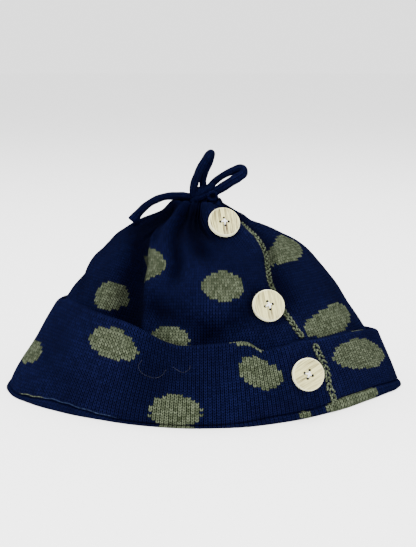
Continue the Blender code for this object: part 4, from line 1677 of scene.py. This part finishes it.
    def knot(self, material: bpy.types.Material) -> bpy.types.Object:
        """Build the knot: a lumpy heart with the cord wrapped round it.

        Args:
            material: the cord's knitting.

        Returns:
            The piece.
        """
        turns = np.linspace(0, 2 * np.pi, 49)
        form = bmesh.new()
        form.loops.layers.uv.new("stitch")
        parts = []
        wide, deep, tall = self.heart
        heart = np.array([np.stack([
            np.sin(t) * np.cos(turns) * wide * (1 + self.heart_lumps * np.sin(3 * turns + 4 * t)),
            np.sin(t) * np.sin(turns) * deep * (1 + self.heart_lumps * np.cos(4 * turns)),
            np.cos(t) * tall + 0 * turns], -1) for t in np.linspace(np.pi, 0, 25)]) * self.knot_size
        parts.append((skin_form(heart + np.array(self.middle)), self.heart_wales, self.heart_courses))
        for lean, wide, deep, lift, shift in self.wraps:
            tilt = math.radians(lean)
            ring = np.stack([
                np.cos(turns) * wide * math.cos(tilt) + shift,
                np.sin(turns) * deep,
                np.cos(turns) * wide * math.sin(tilt) + lift], -1) * self.knot_size + np.array(self.middle)
            wrap = closed_tube(ring, self.radius * self.wrap_thick, self.sides)
            parts.append((skin_form(wrap), self.wales, self.wrap_courses))
        for part, wales, courses in parts:
            layer = part.loops.layers.uv["stitch"]
            for face in part.faces:
                for loop in face.loops:
                    loop[layer].uv = (loop[layer].uv.x * wales, loop[layer].uv.y * courses)
            bmesh.ops.recalc_face_normals(part, faces=part.faces)
            absorb(form, part)
        piece = finished("drawstring_knot", form, material)
        return carried(piece, "drawstring")


def closed_tube(ring: np.ndarray, radius: float, sides: int) -> np.ndarray:
    """Put rings round a closed path whose last point is its first.

    Args:
        ring: the path.
        radius: the tube's radius.
        sides: the corners of a ring.

    Returns:
        Points by ring and by corner, both ways round closed.
    """
    middle = ring[:-1].mean(axis=0)
    steps = np.roll(ring[:-1], -1, axis=0) - np.roll(ring[:-1], 1, axis=0)
    ahead = unit(np.concatenate([steps, steps[:1]]))
    out = ring - middle
    out = unit(out - ahead * np.sum(out * ahead, axis=-1, keepdims=True))
    other = np.cross(ahead, out)
    turns = np.linspace(0, 2 * np.pi, sides + 1)
    spokes = np.cos(turns)[None, :, None] * out[:, None, :] + np.sin(turns)[None, :, None] * other[:, None, :]
    return ring[:, None, :] + spokes * radius


@dataclass
class EdgeStrand:
    """A strand of yarn that shows along the cuff's lower edge, where it stands off from the hem; the pale
    grey-blue one is a painted highlight along the edge.
    """

    form: HatForm
    name: str
    start: float
    end: float
    thick: float = 0.00032
    sink: float = 0.00018
    share: float = 0.018
    wander: float = 0.004
    wander_turn: float = 0.9
    end_fade: float = 4.0
    end_thick: float = 0.25

    def build(self, material: bpy.types.Material) -> bpy.types.Object:
        """Build the strand.

        Args:
            material: its yarn.

        Returns:
            The piece.
        """
        angle = np.linspace(self.start, self.end, 120)
        share = self.share + self.wander * np.sin(angle * self.wander_turn)
        line = self.form.cuff_point(angle, share, np.ones_like(angle))
        sideways = unit(self.form.normal(angle, self.form.level_at(line[:, 2])) * np.array([1.0, 1.0, 0.0]))
        line = line - sideways * self.sink
        taper = ramp((angle - self.start) / self.end_fade) * ramp((self.end - angle) / self.end_fade)
        strand = strand_form(line, self.thick * (self.end_thick + (1 - self.end_thick) * taper), 8)
        return carried(finished(self.name, strand, material))


@dataclass
class Lint:
    """A few pale fibres that have caught on the cuff."""

    form: HatForm
    thick: float = 0.00006
    lift: float = 0.00012
    # Each fibre as angles and heights in mm on the cuff
    fibres: tuple[tuple[tuple[float, float], ...], ...] = (
        ((-19.8, 34.2), (-20.5, 30.2), (-18.4, 26.6), (-14.8, 25.2), (-12.6, 27.0), (-11.5, 30.0)),
        ((-9.4, 31.8), (-6.4, 29.4), (-4.4, 31.0), (-4.0, 33.2)),
    )

    def build(self, material: bpy.types.Material) -> bpy.types.Object:
        """Build the fibres as one piece.

        Args:
            material: the fibres' material.

        Returns:
            The piece.
        """
        form = bmesh.new()
        for fibre in self.fibres:
            angle, height = (spline(np.array(fibre, float), np.linspace(0, 1, 30)) * (1, MM)).T
            share = self.form.cuff_share(angle, height)
            line = self.form.cuff_point(angle, share, np.ones_like(share))
            line = line + self.form.normal(angle, self.form.level_at(height)) * (self.thick + self.lift)
            absorb(form, strand_form(line, np.full(30, self.thick), 5))
        return carried(finished("cuff_lint", form, material))


@dataclass
class Studio:
    """The camera, a plain pale floor and soft light."""

    elevation: float = 9.5
    distance: float = 0.8
    aim: Point = (0.0024, 0.0, 0.069)
    lens: float = 87.0
    floor_size: float = 12.0

    def camera(self) -> None:
        """Set the camera at the photograph's angle."""
        data = bpy.data.cameras.new("camera")
        data.lens = self.lens
        data.sensor_width = 36.0
        data.clip_end = 50.0
        camera = bpy.data.objects.new("camera", data)
        up = math.radians(self.elevation)
        back = Vector((0.0, -math.cos(up), math.sin(up)))
        camera.location = Vector(self.aim) + back * self.distance
        camera.rotation_euler = (math.radians(90 - self.elevation), 0.0, 0.0)
        bpy.context.scene.collection.objects.link(camera)
        bpy.context.scene.camera = camera

    def floor(self) -> None:
        """Lay the floor."""
        form = bmesh.new()
        bmesh.ops.create_grid(form, x_segments=1, y_segments=1, size=self.floor_size)
        pale = plain_material("pale_floor", (0.95, 0.95, 0.95), 0.8, 0.0)
        finished("floor", form, pale, smooth=False)

    def lights(self) -> None:
        """Set three soft lights and a bright surround."""
        rows = (
            ("key", (-0.35, -1.25, 1.6), 0.9, 64.0),
            ("fill", (1.3, -1.2, 0.7), 1.4, 16.0),
            ("top", (0.1, 0.4, 1.8), 1.2, 50.0),
        )
        for name, place, size, power in rows:
            data = bpy.data.lights.new(name, "AREA")
            data.shape = "SQUARE"
            data.size = size
            data.energy = power
            light = bpy.data.objects.new(name, data)
            light.location = place
            aim = Vector((0, 0, 0.06)) - Vector(place)
            light.rotation_euler = aim.to_track_quat("-Z", "Y").to_euler()
            bpy.context.scene.collection.objects.link(light)
        world = bpy.data.worlds.new("surround")
        world.use_nodes = True
        surround = world.node_tree.nodes["Background"]
        surround.inputs["Color"].default_value = (1.0, 1.0, 1.0, 1.0)
        surround.inputs["Strength"].default_value = 2.1
        bpy.context.scene.world = world


def main() -> None:
    """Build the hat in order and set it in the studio."""
    logging.basicConfig(level=logging.INFO, format="%(name)s: %(message)s")
    form = HatForm()
    studio = Studio()
    studio.camera()
    groups = {"stitch": stitch_group(), "heather": heather_group(), "grain": grain_group()}
    # Navy yarn; deep is painted shade between the stitches
    navy = {
        "deep": (0.0003, 0.0004, 0.0012),
        "body": (0.0015, 0.0017, 0.0088),
        "pale": (0.0045, 0.0055, 0.0315),
    }
    cord_yarn = YarnFinish("cord_knitting", kind=Yarn.PLAIN_KNITTING, **navy)
    crown_yarn = YarnFinish("crown_knitting", kind=Yarn.DOTTED_KNITTING, **navy)
    cuff_yarn = YarnFinish("cuff_knitting", kind=Yarn.DOTTED_KNITTING, **navy)
    seam_yarn = YarnFinish("seam_yarn", (0.005, 0.007, 0.003), (0.030, 0.037, 0.022), (0.100, 0.116, 0.078),
                           Yarn.LOOSE_STRAND, bump=0.00012)
    pieces = Drawstring().build(cord_yarn.material(groups))
    pieces.append(Crown(form).build(crown_yarn.material(groups)))
    pieces.append(Cuff(form).build(cuff_yarn.material(groups)))
    seam = Seam(form)
    green = seam_yarn.material(groups)
    pieces += [seam.build(part, green) for part in SeamPart]
    # Painted highlight: a pale grey-blue strand along the cuff's lower edge on the left, where the edge
    # catches the light
    edge_highlight_yarn = YarnFinish("painted_edge_highlight", (0.003, 0.005, 0.012), (0.008, 0.013, 0.034), (0.026, 0.036, 0.068),
                           Yarn.LOOSE_STRAND, bump=0.00012)
    pieces.append(EdgeStrand(form, "edge_strand_highlight", -54, -23).build(edge_highlight_yarn.material(groups)))
    pieces.append(EdgeStrand(form, "edge_strand_green", -67, -50).build(green))
    thread = plain_material("white_thread", (0.70, 0.70, 0.68), 0.6)
    buttons = (
        Button("button_top", 14, 36, 0, WoodFinish("wood_top", 0, 1.4)),
        Button("button_middle", 14, 26, 15, WoodFinish("wood_middle", 10, 1.0)),
        Button("button_low", 16, 17, -20, WoodFinish("wood_low", 43, 0.95)),
    )
    # Painted shade for the walls inside the buttons' holes
    bore = plain_material("painted_hole_shade", (0.030, 0.021, 0.012), 0.9, 0.3)
    for button in buttons:
        pieces += button.build(groups, thread, bore)
    pieces.append(Lint(form).build(plain_material("lint", (0.004, 0.007, 0.018), 0.9)))
    studio.floor()
    studio.lights()
    for piece in pieces:
        LOG.info("%s: %d faces", piece.name, len(piece.data.polygons))


if __name__ == "__main__":
    main()
